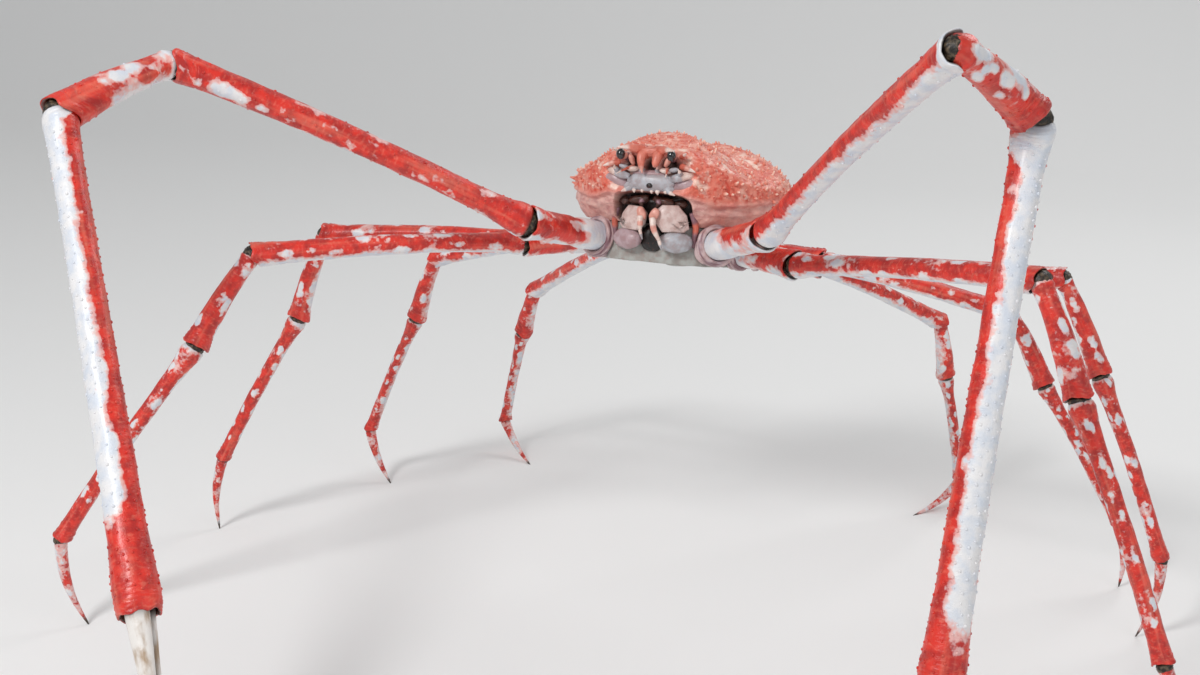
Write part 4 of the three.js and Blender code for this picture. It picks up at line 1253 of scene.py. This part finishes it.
# %% Cheeks and ridges
shape = tinted_shape()
for sign in (-1, 1):
    ridge = [(27, -137, 71), (38, -140, 73), (50, -136, 77), (66, -124, 79)]
    tapered(shape, mirrored(ridge, sign), [3.5, 5.6, 5.4, 2.5], [GREY, GREY, CREAM, PINK])
    point = [(43, -143, 78), (44, -149, 81), (43, -153, 84)]
    tapered(shape, mirrored(point, sign), [3.6, 2.2, 0.5], [GREY, CREAM])
    lobe(shape, (sign * 46, -129, 65), (20, 9, 10), LILAC, turn=(0, -sign * 12, 0))
    lobe(shape, (sign * 60, -117, 62), (16, 9, 9), PINK, turn=(0, -sign * 10, 0))
    seam = [(33, -134, 56), (43, -131, 54.5), (53, -124, 53.5), (60, -116, 50)]
    tapered(shape, mirrored(seam, sign), [2.2, 3.4, 3.2, 1.6], [ORANGE, ORANGE, FLESH])
    outer = [(42, -136, 88), (52, -141, 86), (63, -142, 82)]
    tapered(shape, mirrored(outer, sign), [4.6, 3.2, 0.7], [FLESH, PINK, CREAM])
    upper = [(40, -133, 100), (46, -141, 103), (50, -146, 105)]
    tapered(shape, mirrored(upper, sign), [3.4, 2.0, 0.5], [FLESH, CREAM])
bare_piece("head_cheeks", shape)

# %% [markdown]
# Each eye is a black bead on a short stalk. It is the shiniest thing on the animal, so its material is smooth
# and coated.

# %% Eyes
FACETS_PER_METRE = 2200

eye_gloss, tree, shader = new_material("wet_black_eye")
coordinates = add(tree, COORDINATES, output="Object")
facets = add(tree, CELLS, None, {"Vector": coordinates, "Scale": FACETS_PER_METRE}, "Distance")
black = add(tree, MIX, COLOURS, {0: facets, 6: "#050506", 7: "#16161A"}, 2)
feed(tree, shader, {"Base Color": black, "Roughness": 0.08, "Coat Weight": 1.0, "Coat Roughness": 0.03})

EYE_PLACES = {"left": (32.5, -152, 100.5), "right": (-36, -152, 98.5)}
EYE_RADIUS = 6.2

for sign, side in ((1, "left"), (-1, "right")):
    shape = bmesh.new()
    bmesh.ops.create_uvsphere(shape, u_segments=40, v_segments=28, radius=EYE_RADIUS)
    bmesh.ops.scale(shape, verts=shape.verts, vec=(0.95, 1.0, 1.15))
    bmesh.ops.translate(shape, verts=shape.verts, vec=EYE_PLACES[side])
    eye = finish_piece("eye_bead_" + side, carried(shape, BODY_MATRIX), eye_gloss)
    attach(eye, "root")
    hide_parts("eye_" + side)
    shape = tinted_shape()
    x, y, z = EYE_PLACES[side]
    stalk = [(x - sign * 4, y + 19, z - 3), (x - sign * 1.5, y + 9, z - 1), (x - sign * 0.3, y + 3, z)]
    tapered(shape, stalk, [5.5, 5.2, 5.4], [PLUM, PINK], 20)
    bare_piece("eye_stalk_" + side, shape)
    shape = tinted_shape()
    feeler = [(23, -136, 84), (27, -148, 81), (31, -162, 76), (33, -171, 73)]
    tapered(shape, mirrored(feeler, sign), [3.0, 1.8, 1.1, 0.5], [PINK, FLESH, CREAM])
    bare_piece("antenna_feeler_" + side, shape, "antenna_" + side)

# %% [markdown]
# The mouth is a dark opening closed from below by a pair of leg-like plates. Each plate is a flat outline that is
# extruded, bevelled and crowned by insets; a jointed palp hangs from its inner corner and a rounded plate sits
# below it.

# %% Mouth plates
PLATE_OUTLINE = [(5, 27), (13, 35), (31, 36), (42, 25), (46, 10), (40, 5), (15, 4), (7, 14)]


def crowned_plate(outline, sign, colour):
    """Plate with a rounded edge and a crowned face, standing in the XZ plane."""
    shape = tinted_shape()
    corners = [shape.verts.new((sign * x, 0, z)) for x, z in outline]
    face = shape.faces.new(corners)
    grown = bmesh.ops.extrude_face_region(shape, geom=[face])["geom"]
    front = [item for item in grown if isinstance(item, bmesh.types.BMVert)]
    bmesh.ops.translate(shape, verts=front, vec=(0, -9, 0))
    bmesh.ops.recalc_face_normals(shape, faces=shape.faces)
    facing = max(shape.faces, key=lambda f: -f.calc_center_median().y)
    rim = list(facing.edges)
    bmesh.ops.bevel(shape, geom=rim, offset=3.2, segments=4, profile=0.5, affect="EDGES", material=-1)
    facing = min((f for f in shape.faces if len(f.verts) >= len(outline)), key=lambda f: f.calc_center_median().y)
    for thickness, rise in ((1.6, 0.9), (2.2, 0.8), (2.6, 0.5), (3.0, 0.3)):
        bmesh.ops.inset_individual(shape, faces=[facing], thickness=thickness, depth=rise, use_even_offset=True)
    bmesh.ops.triangulate(shape, faces=[f for f in shape.faces if len(f.verts) > 4])
    bmesh.ops.subdivide_edges(shape, edges=shape.edges, cuts=1)
    for vert in shape.verts:
        vert.co.y += 0.5 * noise.noise(vert.co * 0.11) + 0.01 * (abs(vert.co.x) - 26) ** 2 * 0.6
        vert.co.y -= 0.8 * noise.noise(vert.co * 0.05 + Vector((0, 3, 0)))
    dye(shape, shape.verts, colour)
    return shape


MOUTH_SIDES = {
    "left": {"sign": 1, "grow": 1.12, "shift": 4, "palp": [(11, -144, 20), (15, -147, 6), (23, -145, -8)]},
    "right": {"sign": -1, "grow": 1.0, "shift": 2.5, "palp": [(-6, -144, 21), (-4, -147, 12), (-4, -146, 4)]},
}
for side, mouth_side in MOUTH_SIDES.items():
    sign, grow, shift = mouth_side["sign"], mouth_side["grow"], mouth_side["shift"]
    shape = crowned_plate(PLATE_OUTLINE, sign, "#DDC8C2")
    turn = Matrix.Rotation(sign * math.radians(24), 4, "Z")
    place = Matrix.Translation((shift, -134, -1.5)) @ turn @ Matrix.Diagonal((grow, 1, grow, 1))
    bmesh.ops.transform(shape, verts=shape.verts, matrix=place)
    lobe(shape, (shift + sign * 8, -141, 25), (6, 5, 9), PINK, turn=(0, sign * 25, 0))
    palp = mouth_side["palp"]
    tapered(shape, palp, [4.2, 3.8, 2.2], [CREAM, PINK, CREAM])
    x, y, z = palp[-1]
    tapered(shape, [(x, y, z), (x + 2, y, z - 6), (x + 4, y + 1, z - 12)], [2.4, 1.8, 0.5], [CREAM, GREY])
    lower_tint = GREY if sign > 0 else LILAC
    lobe(shape, (shift + sign * 32, -120, -9), (23, 12, 14), lower_tint, turn=(0, 0, sign * 22), lump=0.08)
    outer = [(50, -117, 30), (55, -110, 12), (52, -105, -14)]
    tapered(shape, [(shift + sign * a, b, c) for a, b, c in outer], [3.0, 4.2, 3.0], [PLUM, FLESH, PLUM])
    bare_piece("mouth_plate_set_" + side, shape, "mouth_plate_" + side)

shape = tinted_shape()
for sign in (-1, 1):
    lobe(shape, (sign * 17, -121, 42), (15, 7, 6), BROWN, turn=(0, sign * 8, 0), lump=0.2)
    inner = [(6, -122, 46), (12, -127, 40), (10, -128, 34)]
    tapered(shape, mirrored(inner, sign), [4.5, 3.5, 2.0], [BROWN, PLUM, BROWN])
    lobe(shape, (sign * 38, -116, 40), (9, 6, 6), BROWN, lump=0.2)
# A black ball behind the plates stands for the shade in the mouth's opening: painted shade.
lobe(shape, (3, -115, -6), (17, 8, 18), SHADE_BLACK)
bare_piece("mouth_inner_jaws_and_shade", shape)

# %% [markdown]
# Under the shell lie the breast plate, with a groove between each pair of legs, and the narrow tail folded flat
# against it.

# %% Breast and tail
BREAST_OUTLINE = [(34, -112), (58, -104), (76, -84), (93, -45), (99, 0), (91, 45), (70, 84), (44, 104)]
BREAST_FRONT, BREAST_BACK = 112.0, 104.0
BREAST_TOP, BREAST_BOTTOM = 11.65, -38
BREAST_GROOVES = (-78, -32, 8, 48, 82)
TAIL_RINGS = 7


def breast_radius(x, y):
    """Distance from the middle to the breast's outline in the direction of a point."""
    turn = math.atan2(y, abs(x))
    spans = [(math.atan2(oy, ox), math.hypot(ox, oy)) for ox, oy in BREAST_OUTLINE]
    spans = [(-math.pi / 2, BREAST_FRONT)] + spans + [(math.pi / 2, BREAST_BACK)]
    for (t0, r0), (t1, r1) in zip(spans, spans[1:]):
        if t0 <= turn <= t1:
            return r0 + (r1 - r0) * (turn - t0) / max(t1 - t0, 1e-6)
    return 100.0


shape = bmesh.new()
bmesh.ops.create_icosphere(shape, subdivisions=6, radius=1)
tint = shape.verts.layers.float_color.new("tint")
middle = (BREAST_TOP + BREAST_BOTTOM) / 2
for vert in shape.verts:
    nx, ny, nz = vert.co.normalized()
    spread = math.hypot(nx, ny)
    fullness = min(spread / max(abs(nz), spread) if spread > 1e-6 else 0, 1) ** 0.7
    height = math.copysign(min(abs(nz) / max(spread, abs(nz)), 1) ** 0.8, nz)
    radius = breast_radius(nx, ny) * fullness / max(spread, 1e-6)
    x, y = nx * radius, ny * radius
    z = middle + height * (BREAST_TOP - BREAST_BOTTOM) / 2
    groove = sum(math.exp(-((y - line - 0.12 * abs(x)) / 2.6) ** 2) for line in BREAST_GROOVES)
    sink = 2.6 * groove * smooth_step(24, 44, abs(x)) * smooth_step(0.1, -0.4, height)
    vert.co = Vector((x, y, z + sink + 0.8 * noise.noise(Vector((x, y, z)) * 0.06)))
    # The grooves are tinted a darker plum: painted shade in them.
    vert[tint] = linear(GREENISH if groove * smooth_step(24, 44, abs(x)) < 0.5 else PLUM)
bare_piece("breast_plate", shape, "sternum")

shape = tinted_shape()
for ring in range(TAIL_RINGS):
    along = (ring + 0.5) / TAIL_RINGS
    half = 31 - 20 * along ** 1.3
    centre = (0, 92 - 110 * along, BREAST_BOTTOM - 3.4 - 0.25 * (ring % 2))
    lobe(shape, centre, (half, 9.6, 3.4), GREENISH, lump=0.03)
bare_piece("tail_rings", shape, "abdomen")
# %% [markdown]
# Each limb leaves the breast through a short ring segment, spun from a folded profile like the tubes. Soft waves
# pull it out of round and tint it: plum where it is pressed in, painted shade, and pale pink where it swells, a
# painted highlight, with its own lilac between.

# %% Leg roots
ROOT_RING = [(0, -0.9), (0.8, -0.8), (1.14, -0.25), (1.26, 0.15), (1.2, 0.35), (1.28, 0.6), (1.24, 0.85),
             (1.12, 1.0), (1.0, 1.0), (0.9, 0.8), (0, 0.7)]
RING_STEPS = 40

for (number, side), chain in LIMBS.items():
    base = chain[0]
    half = base["width"] / 2
    fine = []
    for (r0, a0), (r1, a1) in zip(ROOT_RING, ROOT_RING[1:]):
        fine += [((r0 + (r1 - r0) * t / 4) * half, (a0 + (a1 - a0) * t / 4) * half) for t in range(4)]
    shape = spun(fine + [(0, 0.7 * half)], RING_STEPS)
    tint = shape.verts.layers.float_color.new("tint")
    seed = Vector((number, 0, base["sign"]))
    for vert in shape.verts:
        x, y, z = vert.co
        wave = noise.noise(Vector((x * 0.04, y * 0.25, z * 0.04)) + seed)
        # Plum in the dents is painted shade, pale pink on the swellings a painted highlight; lilac is the ring's own.
        vert[tint] = linear(PLUM if wave < -0.1 else (LILAC if wave < 0.12 else "#CDB4B4"))
        vert.co *= 1 + 0.09 * wave
    shape = carried(shape, base["matrix"])
    ring = finish_piece("%s_root_ring" % node_name(base), shape, bare_shell)
    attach(ring, "root")
